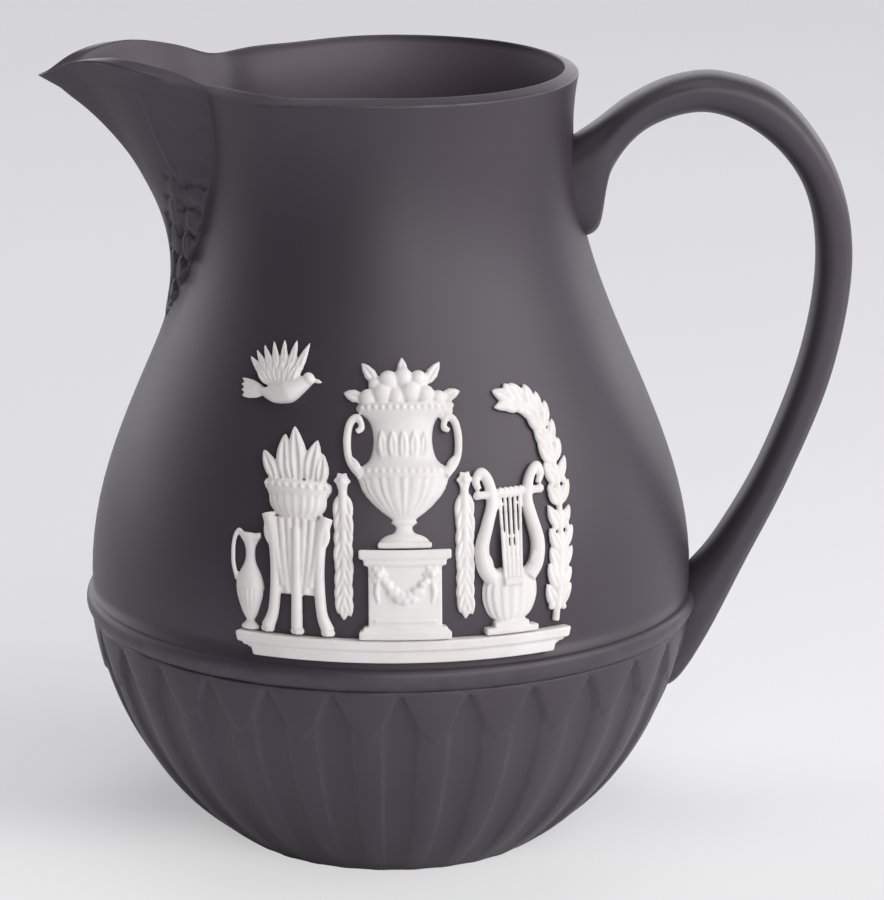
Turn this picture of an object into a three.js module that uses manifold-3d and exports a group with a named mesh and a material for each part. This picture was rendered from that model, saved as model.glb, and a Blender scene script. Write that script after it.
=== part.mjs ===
// A black stoneware jug with applied ornament: a hollow pear-shaped body with a pulled
// spout, a strap handle, a moulded leaf under the spout, and a group of white pressed
// pieces on each side. Millimetres and degrees. +Z is up, the spout points along -X,
// the handle is on +X, and the origin is the centre of the flat underside.

import * as THREE from "three";
import { mergeVertices } from "three/addons/utils/BufferGeometryUtils.js";
import Module from "manifold-3d";

const wasm = await Module();
wasm.setup();

// Turned wall
const baseRadius = 30.6;
const bellyRadius = 61.5;
const bellyHeight = 56;
const neckRadius = 36.9;
const rimRadius = 38;
const rimHeight = 160;
const rimFlare = 11; // height over which the neck opens to the rim
const shoulderFullness = 1.1; // over 1 draws the shoulder in sooner
const wallThickness = 3.1;
const floorThickness = 5;
const floorCorner = 3; // height over which the wall turns into the floor
const rimRounding = 1.4;
const rimInset = 1; // from the rim down to where the inside starts
const baseRounding = 0.5;

// Pulled spout
const spoutReach = 72.3; // from the axis to the tip
const throatHeight = 60; // from where the throat leaves the wall up to the rim
const throatStart = 0.2; // the share of its height over which the throat eases out of the wall
const tipShare = 0.085; // the share of the pull that comes in the last turn out to the tip
const tipPower = 16;
const spoutSpreadFoot = 12;
const spoutSpreadRim = 24;
const spoutSpreadPower = 0.8;
const beakPower = 0.9; // how full the beak is across the spout
const beakPoint = 0.3; // the share of the beak that is drawn to a point at the rim
const beakPointPower = 5.8;
const spoutShoulder = 4.2; // how far the wall is drawn out beside the spout, at the rim
const spoutShoulderSpread = 75;
const spoutShoulderPower = 1.6;
const lipRise = 3.8;
const lipRiseAt = 10.8;
const lipRiseSpread = 10.8;
const lipDip = 1.2;
const lipDipAt = 43.7;
const lipDipSpread = 23;
const tipDrop = 2.1;
const tipDropSpread = 2.6;
const liftHeight = 42; // distance below the rim from which the wall follows its rise

// Half-round band over the leaf moulding
const bandHeight = 49.9;
const bandWidth = 4.9;
const bandProud = 1.5;
const bandSides = 4;

// Leaf moulding
const leafCount = 28;
const leafTurn = 1.9; // from the front to the nearest flute
const fluteDepth = 0.7;
const fluteHollow = 0.25;
const fluteShare = 0.25; // half a flute's width, as a part of the spacing
const fluteShareBase = 0.29;
const fluteShoulderPower = 1.3; // over 1 draws the pointed top of a flute in sooner
const leafCrown = 0.2;
const fluteFoot = 5.5; // where the flutes are fully open over the underside
const dartRise = 0.6;
const dartTip = 36.1;
const fluteShoulder = 39.2;
const fluteTip = 46.4;
const edgeShare = 0.03;

// Strap handle, from the neck to the belly. Each station has the outer and the inner line of
// the strap, as the distance from the wall in handleReach and the height in rimHeight, and
// half its width in handleHalf.
const handleReach = 50;
const handleHalf = 6.7;
const handleStations = [
  { outer: [-0.08, 0.912], inner: [-0.11, 0.781], half: 1.13 },
  { outer: [0.08, 0.94], inner: [0.03, 0.806], half: 1.19 },
  { outer: [0.225, 0.974], inner: [0.137, 0.872], half: 1.09 },
  { outer: [0.393, 0.996], inner: [0.294, 0.924], half: 1.03 },
  { outer: [0.592, 0.997], inner: [0.531, 0.946], half: 1 },
  { outer: [0.849, 0.964], inner: [0.766, 0.918], half: 1 },
  { outer: [1.054, 0.875], inner: [0.917, 0.851], half: 1 },
  { outer: [1.056, 0.761], inner: [0.903, 0.756], half: 1 },
  { outer: [0.813, 0.617], inner: [0.689, 0.633], half: 1.01 },
  { outer: [0.481, 0.478], inner: [0.35, 0.496], half: 1.04 },
  { outer: [0.251, 0.361], inner: [0.106, 0.394], half: 1.1 },
  { outer: [0.128, 0.256], inner: [-0.018, 0.341], half: 1.16 },
  { outer: [0.062, 0.189], inner: [-0.084, 0.309], half: 1.07 },
  { outer: [-0.019, 0.169], inner: [-0.172, 0.281], half: 0.9 },
];
const handleSteps = 28;
const handleSides = 10;

// Leaf under the spout
const spoutLeafDrop = 3.5; // from the rim down to its top
const spoutLeafLength = 49.5;
const spoutLeafSpread = 28;
const spoutLeafThickness = 0.8;
const spoutLeafRib = 0.4;
const spoutLeafFold = 0.3;
const spoutLeafLobes = 5;
const spoutLeafNotch = 0.22; // the share of its half width that a notch cuts in
const spoutLeafEdge = 0.45; // the share of its thickness at the edges
const tongueSpread = 14; // the smooth tongue that the upper leaf leaves bare
const tongueFoot = 0.5; // the share of the leaf's length where the tongue starts

// White pieces
const seatGap = 0.3; // bed of slip between a piece and what carries it
const groupTurn = 2.6; // the group's middle, from the front towards the handle
const plinthBottom = 54;
const plinthHeight = 4.6;
const plinthHalf = 35;
const plinthEndTaper = 2.4;
const plinthDepth = 2.2;
const pedestalHalf = 8.8;
const pedestalHeight = 17;
const pedestalDepth = 2.7;
const urnHalf = 9.4;
const urnHeight = 26.5;
const urnDepth = 3.4;
const urnLeaf = 8.4;
const fruitRadius = 2.5;
const tripodAt = -21.1;
const tripodHeight = 29;
const tripodFeet = 6.1;
const tripodBowl = 6.3;
const flameHeight = 10.5;
const lyreAt = 21.1;
const lyreHeight = 31;
const lyreHalf = 6;
const branchAt = 32.2;
const branchHeight = 44;
const branchLean = 11; // how far its tip hangs over towards the lyre
const branchLeaf = 5.4;
const dropAt = 11.9;
const dropRise = 7.7; // from the plinth up to the foot of its stem
const dropLength = 21.8;
const dropLeaf = 6.4;
const roseRadius = 1.9;
const ewerAt = -31.4;
const ewerHeight = 18.5;
const ewerHalf = 3;
const doveAt = -24.5;
const doveRise = 45; // from the plinth up to its breast
const doveLength = 15;

const black = { color: "#454248", roughness: 0.72, metalness: 0 };
const white = { color: "#e8e7e5", roughness: 0.62, metalness: 0 };

const radians = THREE.MathUtils.degToRad;
const degrees = THREE.MathUtils.radToDeg;
const front = 270; // the side that faces -Y
const back = 90;
const spoutSide = 180;
const tiny = 1e-6;

// The turned wall

const bellyDrop = Math.sqrt(1 - (baseRadius / bellyRadius) ** 2);
const bellyReach = bellyHeight / bellyDrop; // vertical half axis of the belly's ellipse

const neckHeight = rimHeight - rimFlare;

function wallRadius(height) {
  if (height < bellyHeight) {
    return bellyRadius * Math.sqrt(1 - ((bellyHeight - height) / bellyReach) ** 2);
  }
  if (height < neckHeight) {
    const up = (height - bellyHeight) / (neckHeight - bellyHeight);
    const full = ((1 + Math.cos(Math.PI * up)) / 2) ** shoulderFullness;
    return neckRadius + (bellyRadius - neckRadius) * full;
  }
  const flare = (height - neckHeight) / (rimHeight - neckHeight);
  return neckRadius + (rimRadius - neckRadius) * flare ** 2;
}

// The spout, by the angle away from -X

const spoutFoot = rimHeight - throatHeight;
const liftStart = rimHeight - liftHeight;

function outerRadius(away, height) {
  const rise = Math.max(0, (height - spoutFoot) / throatHeight);
  const throat = (1 - tipShare) * (1 - Math.exp(-rise / throatStart));
  const pull = (spoutReach - rimRadius) * rise ** 2 * (throat + tipShare * rise ** tipPower);
  const opening = rise ** spoutSpreadPower;
  const spread = spoutSpreadFoot + (spoutSpreadRim - spoutSpreadFoot) * opening;
  const across = Math.min(1, away / spread);
  const point = beakPoint * rise ** 3;
  const beak = point * (1 - across) ** beakPointPower
    + (1 - point) * Math.max(0, Math.cos(Math.PI * across / 2)) ** beakPower;
  const shoulder = spoutShoulder * rise ** 3;
  const beside = Math.max(0, 1 - (away / spoutShoulderSpread) ** 2) ** spoutShoulderPower;
  return wallRadius(height) + (pull - shoulder) * beak + shoulder * beside;
}

function bell(value, centre, spread) {
  return Math.exp(-(((value - centre) / spread) ** 2));
}

function rimLift(away) {
  const rise = lipRise * bell(away, lipRiseAt, lipRiseSpread);
  const dip = lipDip * bell(away, lipDipAt, lipDipSpread);
  return rise - dip - tipDrop * bell(away, 0, tipDropSpread);
}

function liftedHeight(away, height) {
  const share = Math.max(0, (height - liftStart) / (rimHeight - liftStart));
  return height + rimLift(away) * share ** 2;
}

function awayFromSpout(angle) {
  return Math.abs((((angle - spoutSide) % 360) + 540) % 360 - 180);
}

function skinPoint(angle, height, inward = 0) {
  const away = awayFromSpout(angle);
  const radius = outerRadius(away, height) - inward;
  const a = radians(angle);
  return new THREE.Vector3(radius * Math.cos(a), radius * Math.sin(a), liftedHeight(away, height));
}

// How much longer a horizontal way through the wall is than one square to it
function slantFactor(angle, height) {
  const away = awayFromSpout(angle);
  const radius = outerRadius(away, height);
  const turn = 0.5;
  const around = (outerRadius(away + turn, height) - outerRadius(Math.abs(away - turn), height))
    / (2 * radians(turn) * radius);
  const up = outerRadius(away, height + turn) - outerRadius(away, height - turn);
  return Math.sqrt(1 + around ** 2 + (up / (2 * turn)) ** 2);
}

// A point on the outside of the jug, moved out square to the surface
function onSkin(angle, height, out) {
  const step = 0.2;
  const here = skinPoint(angle, height);
  const around = skinPoint(angle + step, height).sub(skinPoint(angle - step, height));
  const up = skinPoint(angle, height + step).sub(skinPoint(angle, height - step));
  return here.addScaledVector(around.cross(up).normalize(), out);
}

// Rings of points, and the faces between them

function ringAt(angles, pointAt) {
  return angles.map((angle) => ({ angle, point: pointAt(angle) }));
}

// Faces between two rings. Equal rings join point to point, others by angle.
function joinRings(faces, lower, upper) {
  const angleOf = (ring, i) => ring[i % ring.length].angle + (i >= ring.length ? 360 : 0);
  const add = (a, b, c) => faces.push(a.point, b.point, c.point);
  let i = 0;
  let j = 0;
  while (i < lower.length || j < upper.length) {
    const pairs = lower.length === upper.length;
    const lowerNext = pairs ? i <= j : angleOf(lower, i + 1) <= angleOf(upper, j + 1);
    const a = lower[i % lower.length];
    const b = upper[j % upper.length];
    if (j >= upper.length || (i < lower.length && lowerNext)) {
      add(a, lower[(i + 1) % lower.length], b);
      i += 1;
    } else {
      add(a, upper[(j + 1) % upper.length], b);
      j += 1;
    }
  }
}

function closeRing(faces, ring, centre, facesUp) {
  ring.forEach((from, i) => {
    const to = ring[(i + 1) % ring.length];
    const edge = facesUp ? [from.point, to.point] : [to.point, from.point];
    faces.push(...edge, centre);
  });
}

function geometryFrom(faces) {
  const positions = new Float32Array(faces.length * 3);
  faces.forEach((point, i) => point.toArray(positions, i * 3));
  const geometry = new THREE.BufferGeometry();
  geometry.setAttribute("position", new THREE.BufferAttribute(positions, 3));
  return geometry;
}

function solidOf(geometry) {
  const bare = new THREE.BufferGeometry();
  bare.setAttribute("position", geometry.getAttribute("position"));
  bare.setIndex(geometry.index);
  const merged = mergeVertices(bare, 1e-3);
  return new wasm.Manifold(new wasm.Mesh({
    numProp: 3,
    vertProperties: merged.attributes.position.array,
    triVerts: new Uint32Array(merged.index.array),
  }));
}

function geometryOf(solid) {
  const mesh = solid.simplify(0.03).getMesh();
  const geometry = new THREE.BufferGeometry();
  geometry.setAttribute("position", new THREE.BufferAttribute(mesh.vertProperties, 3));
  geometry.setIndex(new THREE.BufferAttribute(mesh.triVerts, 1));
  return geometry.toNonIndexed();
}

// The leaf moulding. A ring is a loop of lines: the flute's middle, the flute's edge, the
// leaf's edge and the leaf's middle, then the same back again, with two more lines on each
// side where the dart's point opens on the leaf.

const spacing = 360 / leafCount;
const bandBottom = bandHeight - bandWidth / 2;
const bandTop = bandHeight + bandWidth / 2;
const leafStart = front + leafTurn;

function fluteHalf(height) {
  if (height >= fluteTip) {
    return 0;
  }
  if (height <= fluteShoulder) {
    const down = 1 - height / fluteShoulder;
    return fluteShare + (fluteShareBase - fluteShare) * down ** 2;
  }
  const up = (height - fluteShoulder) / (fluteTip - fluteShoulder);
  return fluteShare * (1 - up ** fluteShoulderPower);
}

function leafLines(height) {
  const half = fluteHalf(height);
  const floor = height < fluteTip ? -fluteDepth : dartRise;
  const hollow = height < fluteTip ? fluteHollow * half / fluteShare : 0;
  const inner = Math.max(half - edgeShare, half * 0.4, 0.02);
  const outer = inner + 2 * edgeShare;
  const lines = [[0, floor - hollow], [inner, floor]];
  if (height <= dartTip) {
    return [...lines, [outer, 0], [0.5, leafCrown]];
  }
  if (height >= fluteShoulder) {
    return [...lines, [outer, dartRise], [0.5, dartRise + leafCrown]];
  }
  const open = (height - dartTip) / (fluteShoulder - dartTip);
  const edge = 0.5 - (0.5 - outer) * open;
  const below = Math.max(edge - edgeShare, (outer + edge) / 2);
  const above = Math.min(edge + edgeShare, (0.5 + edge) / 2);
  return [...lines, [outer, 0], [below, leafCrown / 2], [above, dartRise], [0.5, dartRise + leafCrown]];
}

function leafRing(height, grow) {
  const half = leafLines(height);
  const mirrored = half.slice(1, -1).reverse().map(([share, level]) => [-share, level]);
  const ring = [];
  for (let leaf = 0; leaf < leafCount; leaf += 1) {
    const lines = [...half, ...mirrored.map(([share, level]) => [share + 1, level])];
    for (const [share, level] of lines) {
      const angle = leafStart + (leaf + share) * spacing;
      const out = (level + grow) * slantFactor(angle, height);
      ring.push({ angle, point: skinPoint(angle, height, -out) });
    }
  }
  return ring;
}

// Angles round the plain wall, close together at the spout and wider behind
const spoutStep = 3.6;
const shoulderStep = 7.2;
const plainStep = 9.6;
const hollowCoarseness = 1.6; // the inside has this much wider steps than the outside

function wallAngles(coarseness) {
  const away = [0];
  while (away.at(-1) < 180) {
    const last = away.at(-1);
    const farStep = last < spoutShoulderSpread ? shoulderStep : plainStep;
    const step = last < spoutSpreadRim ? spoutStep : farStep;
    away.push(last + step * coarseness);
  }
  away[away.length - 1] = 180;
  const both = [...away, ...away.slice(1, -1).map((value) => -value)];
  const turned = both.map((value) => (spoutSide + value - leafStart + 2 * 360) % 360 + leafStart);
  return turned.sort((a, b) => a - b);
}

const plainAngles = wallAngles(1);
const hollowAngles = wallAngles(hollowCoarseness);

function plainRing(height, out) {
  return ringAt(plainAngles, (angle) => {
    return skinPoint(angle, height, -out * slantFactor(angle, height));
  });
}

function evenSteps(from, to, count) {
  return Array.from({ length: count + 1 }, (_, i) => from + (to - from) * i / count);
}

// The outer rings from the underside to just below the rim
function outerRings(grow) {
  const cut = 0.3;
  const flutes = [baseRounding, ...evenSteps(fluteFoot, dartTip - cut, 2)];
  const darts = [dartTip + cut, fluteShoulder, fluteTip - cut];
  const rings = [plainRing(0, grow - baseRounding)];
  rings.push(...[...flutes, ...darts, bandBottom].map((height) => leafRing(height, grow)));
  for (const turn of evenSteps(0, 180, bandSides)) {
    const a = radians(turn);
    const height = bandHeight - (bandWidth / 2) * Math.cos(a);
    rings.push(plainRing(height, grow + bandProud * Math.sin(a)));
  }
  const shoulder = evenSteps(bandTop, spoutFoot, 4).slice(1);
  const throat = evenSteps(spoutFoot, rimHeight - rimRounding, 7).slice(1);
  rings.push(...[...shoulder, ...throat].map((height) => plainRing(height, grow)));
  return rings;
}

// The jug filled up and grown by a gap: what every applied piece is cut back to
function filledSkin(gap) {
  const faces = [];
  const rings = outerRings(gap);
  const axisPoint = (height) => new THREE.Vector3(0, 0, height);
  const top = ringAt(plainAngles, (angle) => skinPoint(angle, rimHeight, -gap));
  rings.push(top);
  rings.slice(1).forEach((ring, i) => joinRings(faces, rings[i], ring));
  closeRing(faces, rings[0], axisPoint(0), false);
  closeRing(faces, top, axisPoint(rimHeight), true);
  return solidOf(geometryFrom(faces));
}

function bodyGeometry() {
  const faces = [];
  const rings = outerRings(0);
  const wallAt = (angle, height) => wallThickness * slantFactor(angle, height);
  const rimRing = (share, drop) => ringAt(plainAngles, (angle) => {
    const point = skinPoint(angle, rimHeight, wallAt(angle, rimHeight) * share);
    point.z -= drop;
    return point;
  });
  const rounded = rimRing(0.14, rimRounding * 0.3);
  const outerEdge = rimRing(0.42, 0);
  const innerEdge = rimRing(0.85, 0);
  rings.push(rounded, outerEdge, innerEdge);
  const hollowFoot = floorThickness + floorCorner;
  const throat = evenSteps(rimHeight - rimInset, spoutFoot, 5);
  const hollow = [...throat, ...evenSteps(spoutFoot, hollowFoot, 4).slice(1)];
  for (const height of hollow) {
    rings.push(ringAt(hollowAngles, (angle) => skinPoint(angle, height, wallAt(angle, height))));
  }
  const floorRadius = baseRadius - wallThickness * 0.5;
  rings.push(ringAt(hollowAngles, (angle) => {
    const a = radians(angle);
    return new THREE.Vector3(floorRadius * Math.cos(a), floorRadius * Math.sin(a), floorThickness);
  }));
  rings.slice(1).forEach((ring, i) => joinRings(faces, rings[i], ring));
  closeRing(faces, rings[0], new THREE.Vector3(0, 0, 0), false);
  closeRing(faces, rings.at(-1), new THREE.Vector3(0, 0, floorThickness), true);
  return geometryFrom(faces);
}

const seat = filledSkin(seatGap);

// The handle: a loft between the strap's outer and inner line, cut back to the wall

function handleSection(outer, inner, half) {
  const middle = outer.clone().add(inner).multiplyScalar(0.5);
  const across = outer.clone().sub(inner).multiplyScalar(0.5);
  const points = [];
  for (let i = 0; i < handleSides; i += 1) {
    const a = (i / handleSides) * 2 * Math.PI;
    const side = Math.sign(Math.cos(a)) * Math.abs(Math.cos(a)) ** 0.75 * half;
    const lift = Math.sin(a) > 0 ? Math.sin(a) ** 0.7 : Math.sin(a);
    points.push(middle.clone().addScaledVector(across, lift).setY(side));
  }
  return points;
}

function handleGeometry() {
  const place = ([distance, level]) => {
    const height = level * rimHeight;
    return new THREE.Vector3(wallRadius(height) + distance * handleReach, 0, height);
  };
  const line = (key) => new THREE.CatmullRomCurve3(
    handleStations.map((station) => place(station[key])),
  );
  const outer = line("outer");
  const inner = line("inner");
  const halves = new THREE.SplineCurve(
    handleStations.map((station, i) => new THREE.Vector2(i, station.half * handleHalf)),
  );
  const sections = evenSteps(0, 1, handleSteps).map((t) => {
    const points = handleSection(outer.getPoint(t), inner.getPoint(t), halves.getPoint(t).y);
    return points.map((point, i) => ({ angle: i * 360 / handleSides, point }));
  });
  const faces = [];
  sections.slice(1).forEach((section, i) => joinRings(faces, sections[i], section));
  const middleOf = (ring) => ring.reduce(
    (sum, { point }) => sum.addScaledVector(point, 1 / ring.length),
    new THREE.Vector3(),
  );
  closeRing(faces, sections[0], middleOf(sections[0]), false);
  closeRing(faces, sections.at(-1), middleOf(sections.at(-1)), true);
  return geometryOf(solidOf(geometryFrom(faces)).subtract(seat));
}

// The leaf under the spout: a lobed shell on the throat, with two wings beside a bare tongue

function spoutLeafHalf(up) {
  const lobe = (up * spoutLeafLobes + tiny) % 1;
  const notch = up > 1 - tiny ? 0 : spoutLeafNotch * (1 - lobe) ** 1.5;
  return spoutLeafSpread * Math.max(0.04, Math.sqrt(up)) * (1 - notch * Math.min(1, up * 3));
}

// One part of the leaf, from a start to an end given as shares of its half width
function leafPanel(rows, columnCount, startAt, endAt) {
  const loops = rows.map((up) => {
    const height = rimHeight - spoutLeafDrop - spoutLeafLength * (1 - up);
    const fold = spoutLeafFold * Math.cos(up * spoutLeafLobes * 2 * Math.PI);
    const at = (share, out) => onSkin(spoutSide + share * spoutLeafHalf(up), height, out);
    const shares = evenSteps(startAt(up), endAt(up), columnCount);
    const face = shares.map((share, i) => {
      const edge = i === 0 || i === columnCount ? spoutLeafEdge : 1;
      const rib = Math.abs(share) < tiny ? spoutLeafRib : fold * Math.abs(share);
      return at(share, seatGap + (spoutLeafThickness + rib) * edge);
    });
    const middle = shares[columnCount / 2];
    const under = [shares.at(-1), middle, shares[0]].map((share) => at(share, -spoutLeafThickness));
    return [...face, ...under].map((point, i) => ({ angle: i, point }));
  });
  const faces = [];
  loops.slice(1).forEach((loop, i) => joinRings(faces, loops[i], loop));
  capLoop(faces, loops[0], columnCount + 1, false);
  capLoop(faces, loops.at(-1), columnCount + 1, true);
  return solidOf(geometryFrom(faces));
}

function spoutLeafGeometry() {
  const rows = evenSteps(0, 1, spoutLeafLobes * 2);
  const overlap = 0.15;
  const wingGap = 0.02;
  const low = rows.filter((up) => up <= tongueFoot);
  const high = rows.filter((up) => up > tongueFoot - overlap);
  const tongue = (up) => {
    const opened = Math.max(0, (up - tongueFoot) / (1 - tongueFoot));
    return wingGap + tongueSpread * Math.sqrt(opened) / spoutLeafHalf(up);
  };
  const clasp = leafPanel(low, 10, () => -1, () => 1);
  const right = leafPanel(high, 4, tongue, () => 1);
  const left = leafPanel(high, 4, () => -1, (up) => -tongue(up));
  return geometryOf(clasp.add(right).add(left).subtract(seat));
}

// Closes a loop that runs out along a face of so many points and back along its underside
function capLoop(faces, loop, count, facesUp) {
  let i = 0;
  let j = loop.length - 1;
  while (i < count - 1 || j > count) {
    const faceShare = i / (count - 1);
    const underShare = (loop.length - 1 - j) / (loop.length - 1 - count);
    const along = i < count - 1 && (j <= count || faceShare <= underShare);
    const third = along ? i + 1 : j - 1;
    const corners = facesUp ? [i, third, j] : [i, j, third];
    faces.push(...corners.map((k) => loop[k].point));
    if (along) {
      i += 1;
    } else {
      j -= 1;
    }
  }
}

// White pieces. Each is drawn flat in (across, height, out) and laid on the wall: across runs
// from the group's middle towards the right, and out is the distance from the wall.

// Each kind of form has its underside at its own height over the wall, so that no two
// undersides lie in one plane where forms join.
const blockBed = seatGap;
const strandBed = seatGap + 0.06;
const bladeBed = seatGap + 0.12;
const knobBed = seatGap + 0.18;

function layOnWall(geometry) {
  const laid = geometry.clone();
  const position = laid.getAttribute("position");
  const point = new THREE.Vector3();
  for (let i = 0; i < position.count; i += 1) {
    point.fromBufferAttribute(position, i);
    const angle = front + groupTurn + degrees(point.x / wallRadius(point.y));
    onSkin(angle, point.y, point.z).toArray(position.array, i * 3);
  }
  return laid;
}

// A block or a half-round form, from rows of [height, half width, depth, shift]
function reliefBlock(centre, rows, { columns = 4, under = 3, round = false } = {}) {
  const loops = rows.map(([height, half, depth, shift = 0]) => {
    const middle = centre + shift;
    const face = evenSteps(-1, 1, columns).map((share) => {
      const swell = round ? Math.sqrt(Math.max(0, 1 - share ** 2)) : 1;
      const out = Math.max(0.7, depth * swell);
      return new THREE.Vector3(middle + share * half, height, out);
    });
    const underside = evenSteps(1, -1, under).map((share) => {
      return new THREE.Vector3(middle + share * half, height, blockBed);
    });
    return [...face, ...underside].map((point, i) => ({ angle: i, point }));
  });
  const faces = [];
  loops.slice(1).forEach((loop, i) => joinRings(faces, loops[i], loop));
  capLoop(faces, loops[0], columns + 1, false);
  capLoop(faces, loops.at(-1), columns + 1, true);
  return geometryFrom(faces);
}

// A half-round strand through points of [across, height], thin to thick by radiusAt(share)
function strand(points, radiusAt, { bed = strandBed, steps = 6, rise = 1.3 } = {}) {
  const curve = new THREE.SplineCurve(points.map(([x, y]) => new THREE.Vector2(x, y)));
  const section = [[0.6, 1], [-0.6, 1], [-1, 0], [1, 0]];
  const rings = evenSteps(0, 1, steps).map((share) => {
    const middle = curve.getPoint(share);
    const along = curve.getTangent(share);
    const radius = radiusAt(share);
    return section.map(([side, up], i) => ({
      angle: i,
      point: new THREE.Vector3(
        middle.x - along.y * side * radius,
        middle.y + along.x * side * radius,
        bed + up * radius * rise,
      ),
    }));
  });
  const faces = [];
  rings.slice(1).forEach((ring, i) => joinRings(faces, rings[i], ring));
  capLoop(faces, rings[0], 2, false);
  capLoop(faces, rings.at(-1), 2, true);
  return geometryFrom(faces);
}

// A ridged leaf, flame or feather from its foot to its point
function blade(x, y, turn, length, width, depth, bed = bladeBed) {
  const place = new THREE.Matrix4().makeRotationZ(radians(turn)).setPosition(x, y, bed);
  const at = (along, side, up) => new THREE.Vector3(along, side, up).applyMatrix4(place);
  const widest = length * 0.4;
  const rim = [at(0, 0, 0), at(widest, -width / 2, 0), at(length, 0, 0), at(widest, width / 2, 0)];
  const ridge = at(widest, 0, depth);
  const faces = [rim[0], rim[2], rim[1], rim[0], rim[3], rim[2]];
  rim.forEach((corner, i) => faces.push(corner, rim[(i + 1) % rim.length], ridge));
  return geometryFrom(faces);
}

// A domed rose, paw or fruit
function knob(x, y, radius, bed = knobBed) {
  const sides = 5;
  const ring = (reach, up) => ringAt(evenSteps(0, 360, sides).slice(0, -1), (angle) => new THREE.Vector3(
    x + reach * radius * Math.cos(radians(angle)),
    y + reach * radius * Math.sin(radians(angle)),
    bed + up * radius,
  ));
  const foot = ring(1, 0);
  const crown = ring(0.66, 0.75);
  const faces = [];
  joinRings(faces, foot, crown);
  closeRing(faces, foot, new THREE.Vector3(x, y, bed), false);
  closeRing(faces, crown, new THREE.Vector3(x, y, bed + radius), true);
  return geometryFrom(faces);
}

// Lays the drawn forms on the wall and joins them into one pressed piece
function pressed(forms) {
  const [first, ...rest] = forms.map((form) => solidOf(layOnWall(form)));
  return geometryOf(rest.reduce((sum, form) => sum.add(form), first));
}

const both = [-1, 1];
const plinthTop = plinthBottom + plinthHeight;
const floorLine = plinthTop + seatGap; // what stands on the plinth starts here

function plinthForms() {
  const narrow = plinthHalf - plinthEndTaper;
  const rows = [
    [plinthBottom, narrow, plinthDepth * 0.65],
    [plinthBottom + plinthHeight * 0.34, narrow + plinthEndTaper * 0.25, plinthDepth * 0.65],
    [plinthBottom + plinthHeight * 0.42, narrow + plinthEndTaper * 0.5, plinthDepth * 0.5],
    [plinthBottom + plinthHeight * 0.58, plinthHalf, plinthDepth],
    [plinthTop - 0.4, plinthHalf, plinthDepth],
    [plinthTop, plinthHalf - 0.3, plinthDepth * 0.85],
  ];
  return [reliefBlock(0, rows, { columns: 10, under: 10 })];
}

const pedestalTop = floorLine + pedestalHeight;

function pedestalForms() {
  const die = pedestalHalf * 0.8;
  const rows = [
    [floorLine, pedestalHalf, pedestalDepth],
    [floorLine + 1.8, pedestalHalf, pedestalDepth],
    [floorLine + 2.8, die, pedestalDepth * 0.72],
    [floorLine + pedestalHeight / 2, die, pedestalDepth * 0.72],
    [pedestalTop - 3.2, die, pedestalDepth * 0.72],
    [pedestalTop - 2, pedestalHalf * 0.94, pedestalDepth],
    [pedestalTop, pedestalHalf, pedestalDepth],
  ];
  const hang = pedestalTop - 4.4;
  const swag = [[-die * 0.72, hang], [0, hang - 4.2], [die * 0.72, hang]];
  const thick = (share) => 0.45 + 0.75 * Math.sin(share * Math.PI);
  const panel = pedestalDepth * 0.6;
  const roses = both.map((side) => knob(side * die * 0.72, hang, 1.1, panel));
  return [
    reliefBlock(0, rows, { columns: 4, under: 4 }),
    strand(swag, thick, { bed: panel }),
    ...roses,
  ];
}

const urnFoot = pedestalTop + seatGap;

function urnForms() {
  const level = (share) => urnFoot + urnHeight * share;
  const rows = [
    [level(0), urnHalf * 0.52, urnDepth * 0.6],
    [level(0.06), urnHalf * 0.52, urnDepth * 0.6],
    [level(0.1), urnHalf * 0.2, urnDepth * 0.4],
    [level(0.18), urnHalf * 0.2, urnDepth * 0.4],
    [level(0.25), urnHalf * 0.56, urnDepth * 0.75],
    [level(0.38), urnHalf * 0.92, urnDepth * 0.98],
    [level(0.53), urnHalf, urnDepth],
    [level(0.6), urnHalf * 0.72, urnDepth * 0.8],
    [level(0.8), urnHalf * 0.62, urnDepth * 0.7],
    [level(0.94), urnHalf * 0.96, urnDepth],
    [level(1), urnHalf * 0.96, urnDepth],
  ];
  const handles = both.map((side) => strand([
    [side * urnHalf * 0.86, level(0.54)],
    [side * urnHalf * 1.16, level(0.66)],
    [side * urnHalf * 1.1, level(0.86)],
    [side * urnHalf * 0.8, level(0.93)],
  ], () => 0.9, { steps: 3 }));
  const fruit = evenSteps(-1, 1, 2).map((share) => {
    return knob(share * urnHalf * 0.52, level(1.03), fruitRadius);
  });
  const top = evenSteps(-1, 1, 2).map((share) => blade(
    share * urnHalf * 0.2, level(1.02), 90 - share * 26, urnLeaf, urnLeaf * 0.4, urnLeaf * 0.26,
  ));
  return [
    reliefBlock(0, rows, { columns: 6, under: 2, round: true }),
    ...handles,
    ...fruit,
    ...top,
  ];
}

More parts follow.
